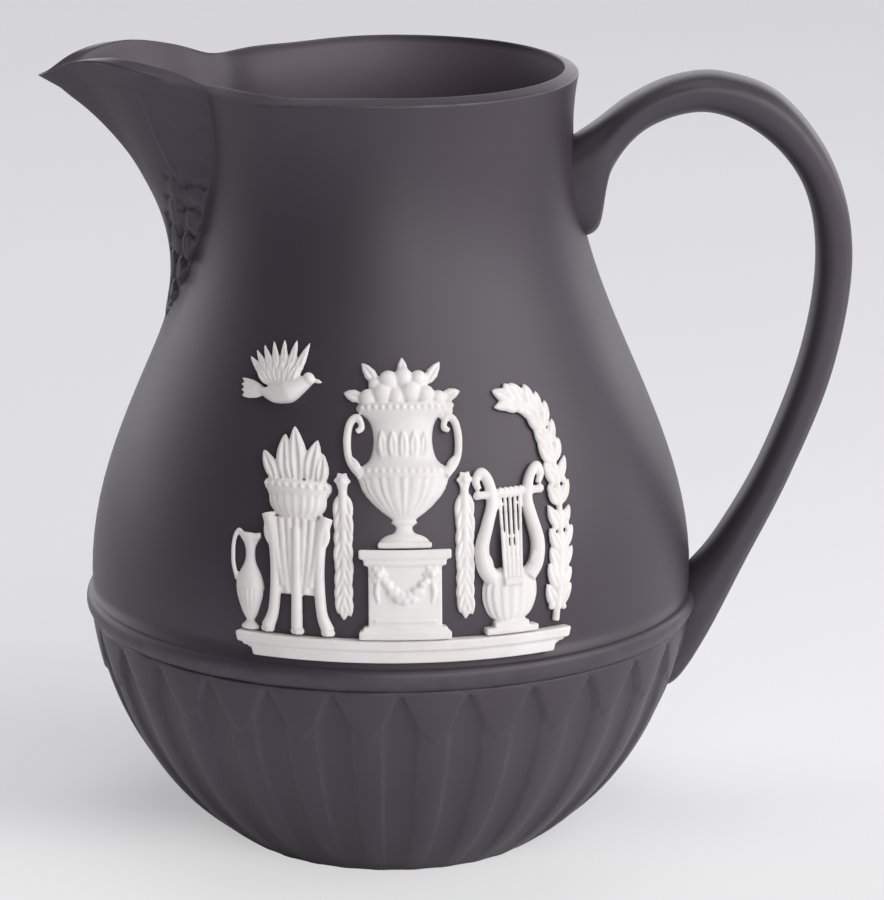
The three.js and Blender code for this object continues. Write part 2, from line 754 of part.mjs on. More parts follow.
function tripodForms() {
  const level = (share) => floorLine + tripodHeight * share;
  const leg = (side) => strand([
    [tripodAt + side * tripodFeet, level(0.04)],
    [tripodAt + side * tripodFeet * 0.74, level(0.3)],
    [tripodAt + side * tripodFeet * 0.72, level(0.55)],
    [tripodAt + side * tripodBowl * 0.86, level(0.82)],
  ], (share) => 1.2 - 0.2 * share, { steps: 4 });
  const paws = [-1, 0, 1].map((side) => knob(tripodAt + side * tripodFeet, level(0.045), 1.25));
  const bowl = [
    [level(0.74), tripodBowl * 0.3, 1.6],
    [level(0.8), tripodBowl * 0.82, 2.3],
    [level(0.92), tripodBowl, 2.7],
    [level(0.94), tripodBowl * 1.1, 3],
    [level(1), tripodBowl * 1.1, 3],
  ];
  const cloth = [
    [level(0.24), tripodFeet * 0.5, 1.5],
    [level(0.42), tripodFeet * 0.86, 1.8],
    [level(0.76), tripodFeet * 0.9, 1.9],
  ];
  const flames = evenSteps(-1, 1, 2).map((share) => blade(
    tripodAt + share * tripodBowl * 0.5, level(0.97), 90 - share * 12,
    flameHeight * (1 - 0.34 * Math.abs(share)), flameHeight * 0.46, flameHeight * 0.21,
  ));
  return [
    reliefBlock(tripodAt, bowl, { columns: 4, under: 2, round: true }),
    ...both.map(leg),
    strand([[tripodAt, level(0.04)], [tripodAt, level(0.4)]], () => 1.1, { steps: 2, rise: 1.7 }),
    ...paws,
    reliefBlock(tripodAt, cloth, { columns: 3, under: 2 }),
    ...flames,
  ];
}

function lyreForms() {
  const level = (share) => floorLine + lyreHeight * share;
  const foot = [
    [level(0), lyreHalf * 0.9, 2.2],
    [level(0.06), lyreHalf * 0.9, 2.2],
    [level(0.1), lyreHalf * 0.4, 1.7],
  ];
  const box = [
    [level(0.08), lyreHalf * 0.45, 1.6],
    [level(0.17), lyreHalf * 0.96, 2.6],
    [level(0.32), lyreHalf, 2.8],
    [level(0.42), lyreHalf * 0.7, 2.2],
  ];
  const arm = (side) => strand([
    [lyreAt + side * lyreHalf * 0.66, level(0.34)],
    [lyreAt + side * lyreHalf * 0.96, level(0.5)],
    [lyreAt + side * lyreHalf * 0.74, level(0.74)],
    [lyreAt + side * lyreHalf * 0.82, level(0.9)],
    [lyreAt + side * lyreHalf * 1.12, level(0.99)],
  ], (share) => 1.4 - 0.5 * share, { steps: 6 });
  const bar = [[lyreAt - lyreHalf * 1.15, level(0.85)], [lyreAt + lyreHalf * 1.15, level(0.85)]];
  const strings = evenSteps(-1, 1, 2).map((share) => strand([
    [lyreAt + share * lyreHalf * 0.3, level(0.38)],
    [lyreAt + share * lyreHalf * 0.36, level(0.86)],
  ], () => 0.42, { steps: 3, rise: 1 }));
  return [
    reliefBlock(lyreAt, foot, { columns: 2, under: 2 }),
    reliefBlock(lyreAt, box, { columns: 4, under: 2, round: true }),
    ...both.map(arm),
    strand(bar, () => 0.75, { steps: 2, rise: 1.6 }),
    ...strings,
  ];
}

// A stem with leaves that stand off it on both sides
function sprayForms(points, { count, length, width, stem = 0.6, splay = 38 }) {
  const curve = new THREE.SplineCurve(points.map(([x, y]) => new THREE.Vector2(x, y)));
  const leaves = [];
  for (const share of evenSteps(0.06, 0.94, count - 1)) {
    const at = curve.getPoint(share);
    const along = curve.getTangent(share);
    const heading = degrees(Math.atan2(along.y, along.x));
    for (const side of both) {
      leaves.push(blade(at.x, at.y, heading + side * splay, length, width, 1.1));
    }
  }
  const end = curve.getPoint(0.97);
  const last = curve.getTangent(0.97);
  leaves.push(blade(end.x, end.y, degrees(Math.atan2(last.y, last.x)), length, width, 1.1));
  return [strand(points, (share) => stem * (1 - 0.4 * share), { steps: 5 }), ...leaves];
}

function branchForms() {
  const points = [
    [branchAt - branchLean * 0.1, floorLine + branchHeight * 0.02],
    [branchAt + branchLean * 0.03, floorLine + branchHeight * 0.32],
    [branchAt - branchLean * 0.03, floorLine + branchHeight * 0.66],
    [branchAt - branchLean * 0.4, floorLine + branchHeight * 0.91],
    [branchAt - branchLean, floorLine + branchHeight],
  ];
  return sprayForms(points, { count: 6, length: branchLeaf, width: branchLeaf * 0.54, splay: 32 });
}

// A hanging string of leaves with a rose at the top and a tassel below
function dropForms(side) {
  const at = side * dropAt;
  const foot = floorLine + dropRise;
  const top = foot + dropLength;
  const points = [[at, top], [at, foot + dropLength / 2], [at, foot]];
  const form = { count: 4, length: dropLeaf, width: dropLeaf * 0.4, stem: 0.8, splay: 16 };
  return [...sprayForms(points, form), knob(at, top, roseRadius)];
}

function ewerForms() {
  const level = (share) => floorLine + ewerHeight * share;
  const rows = [
    [level(0), ewerHalf * 0.62, 1.3],
    [level(0.1), ewerHalf * 0.3, 1],
    [level(0.3), ewerHalf * 0.9, 1.9],
    [level(0.46), ewerHalf, 2.1],
    [level(0.72), ewerHalf * 0.34, 1.1],
    [level(0.86), ewerHalf * 0.36, 1.1],
    [level(1), ewerHalf * 0.7, 1.4, 0.5],
  ];
  const grip = strand([
    [ewerAt - ewerHalf * 0.8, level(0.5)],
    [ewerAt - ewerHalf * 1.15, level(0.75)],
    [ewerAt - ewerHalf * 0.9, level(1.02)],
    [ewerAt - ewerHalf * 0.1, level(0.94)],
  ], () => 0.5, { steps: 5 });
  return [reliefBlock(ewerAt, rows, { columns: 4, under: 1, round: true }), grip];
}

function doveForms() {
  const breast = floorLine + doveRise;
  const at = (along, up) => [doveAt + doveLength * along, breast + doveLength * up];
  const body = strand(
    [at(-0.3, -0.02), at(0, -0.04), at(0.24, 0.08), at(0.4, 0.16)],
    (share) => 0.8 + 1.3 * Math.sin(Math.PI * Math.min(1, share * 1.1 + 0.08)),
    { rise: 1 },
  );
  const wing = [64, 92, 120].map((turn, i) => blade(
    ...at(0.05 - 0.05 * i, 0.05), turn, doveLength * (0.66 - 0.06 * i), 3.4, 1.8,
  ));
  const tail = [172, 192].map((turn) => blade(...at(-0.2, -0.02), turn, doveLength * 0.4, 2.4, 1.3));
  const head = knob(...at(0.42, 0.18), 1.15);
  const beak = blade(...at(0.46, 0.17), -8, doveLength * 0.16, 0.8, 0.7);
  return [body, ...wing, ...tail, head, beak];
}

// The whole jug

function named(name, geometry, finish) {
  const material = new THREE.MeshStandardMaterial(finish);
  const mesh = new THREE.Mesh(geometry, material);
  mesh.name = name;
  return mesh;
}

const jug = new THREE.Group();
jug.add(named("jug_body", bodyGeometry(), black));
jug.add(named("handle", handleGeometry(), black));
jug.add(named("spout_leaf", spoutLeafGeometry(), black));

const pieces = {
  plinth: plinthForms(),
  pedestal: pedestalForms(),
  urn: urnForms(),
  tripod: tripodForms(),
  lyre: lyreForms(),
  laurel_branch: branchForms(),
  drop_left: dropForms(-1),
  drop_right: dropForms(1),
  ewer: ewerForms(),
  dove: doveForms(),
};
for (const [name, forms] of Object.entries(pieces)) {
  const geometry = pressed(forms);
  const frontPiece = named(`${name}_front`, geometry, white);
  const backPiece = named(`${name}_back`, geometry.clone(), white);
  backPiece.rotation.z = radians(back - front);
  jug.add(frontPiece, backPiece);
}

export default jug;
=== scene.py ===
"""A black stoneware jug with white pressed ornament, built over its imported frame.

Sizes are millimetres and degrees, and a mesh is scaled to metres when it is put in place.
The spout points along -X, the handle is on +X, and the front is the side towards -Y.
"""

import logging
import math
from dataclasses import dataclass, field
from enum import Enum

import bpy
import numpy as np
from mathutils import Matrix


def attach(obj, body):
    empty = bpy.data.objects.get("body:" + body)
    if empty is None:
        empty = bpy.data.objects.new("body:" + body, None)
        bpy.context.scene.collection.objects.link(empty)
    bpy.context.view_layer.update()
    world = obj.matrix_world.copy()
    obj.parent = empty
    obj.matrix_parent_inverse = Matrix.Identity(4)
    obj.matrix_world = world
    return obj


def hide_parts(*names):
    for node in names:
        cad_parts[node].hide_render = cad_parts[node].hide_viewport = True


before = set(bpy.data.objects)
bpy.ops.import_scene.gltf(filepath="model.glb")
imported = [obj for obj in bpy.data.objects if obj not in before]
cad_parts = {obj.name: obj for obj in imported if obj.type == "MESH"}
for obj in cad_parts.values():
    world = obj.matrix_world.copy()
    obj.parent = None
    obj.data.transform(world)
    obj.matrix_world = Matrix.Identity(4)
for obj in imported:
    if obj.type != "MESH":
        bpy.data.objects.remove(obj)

MM = 0.001
FRONT = 270.0
SPOUT = 180.0
LOG = logging.getLogger("jug")

Array = np.ndarray
Object = bpy.types.Object


class Face(Enum):
    """The side of the jug that a pressed piece is on."""

    FRONT = "front"
    BACK = "back"


# Modelling helpers


def deselect() -> None:
    """Leaves edit mode and deselects every object."""
    if bpy.context.object and bpy.context.object.mode != "OBJECT":
        bpy.ops.object.mode_set(mode="OBJECT")
    bpy.ops.object.select_all(action="DESELECT")


def only(obj: Object) -> Object:
    """Makes an object the only selected one, and the active one.

    Args:
        obj: the object.

    Returns:
        The same object.
    """
    deselect()
    obj.select_set(True)
    bpy.context.view_layer.objects.active = obj
    return obj


def places(obj: Object) -> Array:
    """Reads the places of a mesh's vertices.

    Args:
        obj: a mesh object.

    Returns:
        One row of x, y, z for each vertex.
    """
    flat = np.zeros(len(obj.data.vertices) * 3)
    obj.data.vertices.foreach_get("co", flat)
    return flat.reshape(-1, 3)


def place(obj: Object, points: Array) -> None:
    """Moves a mesh's vertices.

    Args:
        obj: a mesh object.
        points: one row of x, y, z for each vertex.
    """
    obj.data.vertices.foreach_set("co", points.ravel())
    obj.data.update()


def pick(obj: Object, chosen: Array) -> None:
    """Enters edit mode on an object with only some of its vertices selected.

    Args:
        obj: a mesh object.
        chosen: True for each vertex to select.
    """
    only(obj)
    bpy.ops.object.mode_set(mode="EDIT")
    bpy.ops.mesh.select_mode(type="VERT")
    bpy.ops.mesh.select_all(action="DESELECT")
    bpy.ops.object.mode_set(mode="OBJECT")
    obj.data.vertices.foreach_set("select", chosen)
    bpy.ops.object.mode_set(mode="EDIT")


def mend(obj: Object, merge: float = 1e-5) -> None:
    """Merges doubled vertices and turns the faces outwards.

    Args:
        obj: a mesh object.
        merge: vertices closer than this become one.
    """
    only(obj)
    bpy.ops.object.mode_set(mode="EDIT")
    bpy.ops.mesh.select_all(action="SELECT")
    bpy.ops.mesh.remove_doubles(threshold=merge)
    bpy.ops.mesh.normals_make_consistent(inside=False)
    bpy.ops.object.mode_set(mode="OBJECT")


def apply_all(obj: Object) -> None:
    """Applies every modifier of an object, in order."""
    only(obj)
    for modifier in list(obj.modifiers):
        bpy.ops.object.modifier_apply(modifier=modifier.name)


def spun_tube(name: str, rows: int, columns: int) -> tuple[Object, Array, Array]:
    """Spins an upright line of points into a tube, ready for its rows to be placed.

    Args:
        name: the object's name.
        rows: points on the line.
        columns: steps of the spin.

    Returns:
        The tube, and the row and the column of each of its vertices.
    """
    deselect()
    bpy.ops.mesh.primitive_grid_add(x_subdivisions=1, y_subdivisions=rows - 1, size=1)
    tube = bpy.context.object
    tube.name = name
    points = places(tube)
    pick(tube, points[:, 0] > 0)
    bpy.ops.mesh.delete(type="VERT")
    bpy.ops.object.mode_set(mode="OBJECT")
    order = np.argsort(np.argsort(places(tube)[:, 1]))
    line = np.zeros((rows, 3))
    line[:, 0] = 1
    line[:, 2] = order
    place(tube, line)
    pick(tube, np.ones(rows, bool))
    bpy.ops.mesh.spin(
        steps=columns, angle=math.tau, center=(0, 0, 0), axis=(0, 0, 1), use_auto_merge=True
    )
    bpy.ops.mesh.select_all(action="SELECT")
    bpy.ops.mesh.remove_doubles(threshold=1e-4)
    bpy.ops.object.mode_set(mode="OBJECT")
    points = places(tube)
    turn = np.arctan2(points[:, 1], points[:, 0]) / math.tau * columns
    return tube, np.rint(points[:, 2]).astype(int), np.rint(turn).astype(int) % columns


def set_attribute(obj: Object, name: str, values: Array) -> None:
    """Keeps a number for each vertex, for a material to read.

    Args:
        obj: a mesh object.
        name: the attribute's name.
        values: one number for each vertex.
    """
    layer = obj.data.attributes.get(name) or obj.data.attributes.new(name, "FLOAT", "POINT")
    layer.data.foreach_set("value", values.astype(np.float32))


def smooth_line(points: list[tuple[float, ...]], count: int) -> Array:
    """Draws a smooth line through points.

    Args:
        points: the points, each of so many numbers.
        count: how many points the line has.

    Returns:
        The line's points, evenly spread over its stations.
    """
    knots = np.array(points, float)
    ends = np.vstack([2 * knots[0] - knots[1], knots, 2 * knots[-1] - knots[-2]])
    share = np.linspace(0, len(knots) - 1, count)
    i = np.minimum(share.astype(int), len(knots) - 2)
    t = (share - i)[:, None]
    a, b, c, d = ends[i], ends[i + 1], ends[i + 2], ends[i + 3]
    return 0.5 * (
        2 * b + (c - a) * t + (2 * a - 5 * b + 4 * c - d) * t**2 + (3 * b - a - 3 * c + d) * t**3
    )


# The jug's wall


def bell(value: Array, centre: float, spread: float) -> Array:
    """Gives a smooth hump of height 1."""
    return np.exp(-(((value - centre) / spread) ** 2))


def ease(value: Array, low: float, high: float) -> Array:
    """Gives a smooth step from 0 at low to 1 at high."""
    share = np.clip((value - low) / (high - low), 0, 1)
    return share**2 * (3 - 2 * share)


@dataclass(frozen=True)
class Wall:
    """The turned wall and its pulled spout, as places on their outside."""

    base_radius: float = 30.6
    belly_radius: float = 61.5
    belly_height: float = 56.0
    neck_radius: float = 36.9
    neck_height: float = 149.0
    rim_radius: float = 38.0
    rim_height: float = 160.0
    shoulder_fullness: float = 1.1
    thickness: float = 2.9
    front_extra: float = 0.6
    tip_thinning: float = 0.8
    mouth_oval: float = 1.6
    mouth_start: float = 110.0
    spout_reach: float = 72.8
    spout_foot: float = 100.0
    throat_start: float = 0.2
    tip_share: float = 0.085
    tip_power: float = 16.0
    spread_foot: float = 12.0
    spread_rim: float = 24.0
    spread_power: float = 0.8
    beak_power: float = 0.9
    beak_point: float = 0.3
    beak_point_power: float = 5.8
    spout_shoulder: float = 4.2
    shoulder_spread: float = 75.0
    shoulder_power: float = 1.6
    lift_start: float = 118.0
    crease: float = 0.12

    def turned(self, height: Array) -> Array:
        """Gives the wall's radius without the spout.

        Args:
            height: heights above the base.

        Returns:
            The radius at each height.
        """
        z = np.asarray(height, float)
        reach = self.belly_height / math.sqrt(1 - (self.base_radius / self.belly_radius) ** 2)
        bowl = np.clip(1 - ((self.belly_height - z) / reach) ** 2, 0, 1)
        low = self.belly_radius * np.sqrt(bowl)
        up = np.clip((z - self.belly_height) / (self.neck_height - self.belly_height), 0, 1)
        full = ((1 + np.cos(math.pi * up)) / 2) ** self.shoulder_fullness
        middle = self.neck_radius + (self.belly_radius - self.neck_radius) * full
        flare = np.clip((z - self.neck_height) / (self.rim_height - self.neck_height), 0, None)
        top = self.neck_radius + (self.rim_radius - self.neck_radius) * flare**2
        above = np.where(z < self.neck_height, middle, top)
        return np.where(z < self.belly_height, low, above)

    def outer(self, away: Array, height: Array) -> Array:
        """Gives the radius of the outside, spout and all.

        Args:
            away: degrees from the middle of the spout.
            height: heights above the base.

        Returns:
            The radius at each place.
        """
        rise = np.clip((height - self.spout_foot) / (self.rim_height - self.spout_foot), 0, None)
        throat = (1 - self.tip_share) * (1 - np.exp(-rise / self.throat_start))
        pull = (self.spout_reach - self.rim_radius) * rise**2
        pull = pull * (throat + self.tip_share * rise**self.tip_power)
        spread = self.spread_foot + (self.spread_rim - self.spread_foot) * rise**self.spread_power
        left = 1 - away / spread
        soft = np.clip(left + self.crease, 0, None) ** 2 / (4 * self.crease)
        across = 1 - np.where(left > self.crease, left, soft)
        point = self.beak_point * rise**3
        arch = np.clip(np.cos(math.pi * across / 2), 0, None) ** self.beak_power
        beak = point * (1 - across) ** self.beak_point_power + (1 - point) * arch
        shoulder = self.spout_shoulder * rise**3
        beside = np.clip(1 - (away / self.shoulder_spread) ** 2, 0, None) ** self.shoulder_power
        up = ease(height, self.mouth_start, self.rim_height)
        oval = self.mouth_oval * up * np.sin(np.radians(away)) ** 4
        return self.turned(height) + (pull - shoulder) * beak + shoulder * beside - oval

    def wall_thickness(self, away: Array) -> Array:
        """Gives how thick the wall is, thinner towards the tip of the spout."""
        thinner = self.tip_thinning * bell(away, 0, 9)
        return self.thickness + self.front_extra * np.sin(np.radians(away)) ** 2 - thinner

    @staticmethod
    def rim_lift(away: Array) -> Array:
        """Gives how much higher the rim is than on a turned jug, by degrees from the spout."""
        return 3.8 * bell(away, 10.4, 10.1) - 1.2 * bell(away, 43.7, 23) - 2.3 * bell(away, 0, 2.6)

    @staticmethod
    def away(angle: Array) -> Array:
        """Gives the degrees between an angle and the middle of the spout."""
        return np.abs((((np.asarray(angle, float) - SPOUT) % 360) + 540) % 360 - 180)

    def point(self, angle: Array, height: Array, inward: Array | float = 0.0) -> Array:
        """Gives places on the outside, or level with them inside the wall.

        Args:
            angle: degrees round the axis.
            height: heights above the base, before the rim's lift.
            inward: how much nearer to the axis.

        Returns:
            One x, y, z for each place, in millimetres.
        """
        away = self.away(angle)
        radius = self.outer(away, height) - inward
        share = np.clip((height - self.lift_start) / (self.rim_height - self.lift_start), 0, None)
        turn = np.radians(angle)
        lifted = height + self.rim_lift(away) * share**2
        return np.stack([radius * np.cos(turn), radius * np.sin(turn), lifted], -1)

    def slant(self, angle: Array, height: Array) -> Array:
        """Gives how much longer a level way through the wall is than one square to it."""
        away = self.away(angle)
        step = 0.5
        radius = self.outer(away, height)
        around = self.outer(away + step, height) - self.outer(np.abs(away - step), height)
        around = around / (2 * math.radians(step) * radius)
        up = (self.outer(away, height + step) - self.outer(away, height - step)) / (2 * step)
        return np.sqrt(1 + around**2 + up**2)

    def lay(self, angle: Array, height: Array, out: Array) -> Array:
        """Gives places square off the outside.

        Args:
            angle: degrees round the axis.
            height: heights above the base.
            out: distance from the surface.

        Returns:
            One x, y, z for each place, in millimetres.
        """
        step = 0.2
        around = self.point(angle + step, height) - self.point(angle - step, height)
        up = self.point(angle, height + step) - self.point(angle, height - step)
        normal = np.cross(around, up)
        normal /= np.linalg.norm(normal, axis=-1, keepdims=True)
        return self.point(angle, height) + normal * np.asarray(out)[..., None]


# Finishes


class NodeTree:
    """The nodes of one material, with short ways to add and join them."""

    def __init__(self, name: str) -> None:
        """Makes an empty material with a surface shader.

        Args:
            name: the material's name.
        """
        self.material = bpy.data.materials.new(name)
        self.material.use_nodes = True
        self.tree = self.material.node_tree
        self.shader = self.tree.nodes["Principled BSDF"]
        self.coords = self.add("ShaderNodeTexCoord").outputs["Object"]

    def add(self, kind: str, **settings: object) -> bpy.types.Node:
        """Adds a node and sets its properties.

        Args:
            kind: the node's type.
            settings: properties of the node.

        Returns:
            The node.
        """
        node = self.tree.nodes.new(kind)
        for key, value in settings.items():
            setattr(node, key, value)
        return node

    def join(self, source: object, socket: object) -> None:
        """Joins an output, or sets a plain value, on an input."""
        if isinstance(source, bpy.types.NodeSocket):
            self.tree.links.new(source, socket)
        else:
            socket.default_value = source

    def noise(self, scale: float, detail: float = 2.0, stretch: tuple | None = None) -> object:
        """Adds noise on the object's own coordinates.

        Args:
            scale: features in a metre.
            detail: levels of finer noise.
            stretch: scale along each axis before the noise.

        Returns:
            The output from 0 to 1.
        """
        source = self.coords
        if stretch:
            mapping = self.add("ShaderNodeMapping")
            self.join(source, mapping.inputs["Vector"])
            mapping.inputs["Scale"].default_value = stretch
            source = mapping.outputs["Vector"]
        node = self.add("ShaderNodeTexNoise")
        self.join(source, node.inputs["Vector"])
        node.inputs["Scale"].default_value = scale
        node.inputs["Detail"].default_value = detail
        return node.outputs["Fac"]

    def specks(self, scale: float, size: float, share: float) -> object:
        """Adds small round specks, each in a cell of its own.

        Args:
            scale: cells in a metre.
            size: a speck's radius as a part of its cell.
            share: the part of the cells that has one.

        Returns:
            The output, 1 on a speck.
        """
        cells = self.add("ShaderNodeTexVoronoi")
        self.join(self.coords, cells.inputs["Vector"])
        cells.inputs["Scale"].default_value = scale
        parts = self.add("ShaderNodeSeparateColor")
        self.join(cells.outputs["Color"], parts.inputs["Color"])
        near = self.ramp(cells.outputs["Distance"], size, size * 0.5)
        chosen = self.ramp(parts.outputs["Red"], 1 - share, 1 - share * 0.9)
        return self.math("MULTIPLY", near, chosen)

    def ramp(self, source: object, low: float, high: float, top: float = 1.0) -> object:
        """Maps a value smoothly to 0 at low and to top at high."""
        node = self.add("ShaderNodeMapRange", interpolation_type="SMOOTHSTEP")
        self.join(source, node.inputs["Value"])
        node.inputs["From Min"].default_value = low
        node.inputs["From Max"].default_value = high
        node.inputs["To Max"].default_value = top
        return node.outputs["Result"]

    def math(self, operation: str, a: object, b: object) -> object:
        """Adds one sum and gives its output."""
        node = self.add("ShaderNodeMath", operation=operation)
        self.join(a, node.inputs[0])
        self.join(b, node.inputs[1])
        return node.outputs[0]

    def mix(self, factor: object, a: object, b: object) -> object:
        """Mixes two colours and gives the output."""
        node = self.add("ShaderNodeMix", data_type="RGBA")
        self.join(factor, node.inputs["Factor"])
        self.join(a, node.inputs[6])
        self.join(b, node.inputs[7])
        return node.outputs[2]

    def attribute(self, name: str) -> object:
        """Reads a number that the mesh keeps for each vertex."""
        return self.add("ShaderNodeAttribute", attribute_name=name).outputs["Fac"]

    def bump(self, height: object, strength: float, depth: float, below: object = None) -> object:
        """Adds a bump over another one.

        Args:
            height: the output with the height.
            strength: how strong it is, from 0 to 1.
            depth: the height of the full range, in metres.
            below: the bump that it lies on.

        Returns:
            The normal.
        """
        node = self.add("ShaderNodeBump")
        node.inputs["Strength"].default_value = strength
        node.inputs["Distance"].default_value = depth
        self.join(height, node.inputs["Height"])
        if below is not None:
            self.join(below, node.inputs["Normal"])
        return node.outputs["Normal"]


def colour(code: str) -> tuple[float, float, float, float]:
    """Turns a screen colour such as 4a474d into scene values.

    Args:
        code: six hexadecimal digits.

    Returns:
        Red, green, blue and alpha.
    """
    parts = [int(code[i : i + 2], 16) / 255 for i in (0, 2, 4)]
    linear = [p / 12.92 if p <= 0.04045 else ((p + 0.055) / 1.055) ** 2.4 for p in parts]
    return (*linear, 1.0)


@dataclass(frozen=True)
class BlackStoneware:
    """Unglazed black body, satin from polishing, with paler edges that are partly rubbed and partly a painted
    highlight.
    """

    deep: str = "3c353d"
    pale: str = "423b43"
    worn_and_highlight: str = "77747a"
    # The paler inside: partly an unpolished inside, partly painted light.
    inner: str = "685f67"
    speck: str = "a9a6a8"
    roughness: float = 0.44
    specular: float = 0.55

    def make(self) -> bpy.types.Material:
        """Makes the material."""
        t = NodeTree("black_stoneware")
        mottle = t.ramp(t.noise(26, 5), 0.35, 0.68)
        cloud = t.ramp(t.noise(9, 3), 0.3, 0.7)
        base = t.mix(t.math("MULTIPLY", mottle, cloud), colour(self.deep), colour(self.pale))
        # Paler edges: partly rubbing, partly a painted highlight on the arrises, broken up by noise.
        rub_and_highlight = t.ramp(t.noise(260, 3), 0.3, 0.75)
        wear_and_highlight = t.math("MULTIPLY", t.attribute("wear_and_highlight"), rub_and_highlight)
        base = t.mix(t.math("MULTIPLY", wear_and_highlight, 0.6), base, colour(self.worn_and_highlight))
        dust = t.specks(240, 0.07, 0.03)
        marks = t.math("MULTIPLY", dust, t.ramp(t.noise(31, 2), 0.48, 0.62))
        base = t.mix(t.math("MULTIPLY", marks, 0.6), base, colour(self.speck))
        hair = t.noise(1.0, 1, stretch=(190, 190, 3100))
        scuffs = t.ramp(hair, 0.735, 0.76, 0.16)
        scuffs = t.math("MULTIPLY", scuffs, t.ramp(t.noise(17, 2), 0.6, 0.7))
        base = t.mix(scuffs, base, colour(self.speck))
        # The hollow is painted paler: partly an unpolished inside, partly painted light.
        base = t.mix(t.math("MULTIPLY", t.attribute("inner"), 0.75), base, colour(self.inner))
        t.join(base, t.shader.inputs["Base Color"])
        gloss = t.noise(60, 4)
        rough = t.add("ShaderNodeMapRange")
        t.join(gloss, rough.inputs["Value"])
        rough.inputs["To Min"].default_value = self.roughness - 0.03
        rough.inputs["To Max"].default_value = self.roughness + 0.05
        t.join(rough.outputs["Result"], t.shader.inputs["Roughness"])
        t.shader.inputs["Specular IOR Level"].default_value = self.specular
        t.shader.inputs["Specular Tint"].default_value = (1.0, 0.93, 1.0, 1.0)
        turning = t.bump(t.noise(1.0, 3, stretch=(9, 9, 620)), 0.12, 0.00003)
        grain = t.bump(t.noise(2600, 3), 0.3, 0.00002, turning)
        t.join(grain, t.shader.inputs["Normal"])
        return t.material


@dataclass(frozen=True)
class WhiteStoneware:
    """Fine white pressed body, waxy and a little see-through where it is thin."""

    body: str = "e9e6e4"
    warm: str = "e2dedb"
    thin: str = "b9b6b9"
    roughness: float = 0.52

    def make(self) -> bpy.types.Material:
        """Makes the material."""
        t = NodeTree("white_stoneware")
        base = t.mix(t.ramp(t.noise(120, 4), 0.35, 0.7), colour(self.body), colour(self.warm))
        thin = t.ramp(t.attribute("depth"), 0.55, 0.05, 0.7)
        base = t.mix(thin, base, colour(self.thin))
        t.join(base, t.shader.inputs["Base Color"])
        t.shader.inputs["Roughness"].default_value = self.roughness
        t.shader.inputs["Specular IOR Level"].default_value = 0.35
        t.shader.inputs["Subsurface Weight"].default_value = 0.12
        t.shader.inputs["Subsurface Scale"].default_value = 0.0006
        t.join(t.bump(t.noise(1900, 3), 0.35, 0.00003), t.shader.inputs["Normal"])
        return t.material


def finish_piece(
    obj: Object, name: str, material: bpy.types.Material, nodes: list[str]
) -> None:
    """Names and dresses a finished piece, and sets it on the jug.

    Args:
        obj: the piece, in place and in metres.
        name: its name.
        material: its finish.
        nodes: the frame's nodes that it stands for.
    """
    obj.name = name
    obj.data.name = name
    obj.data.materials.clear()
    obj.data.materials.append(material)
    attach(obj, "root")
    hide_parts(*nodes)
    LOG.info("%s: %d faces", name, len(obj.data.polygons))


# The black pieces


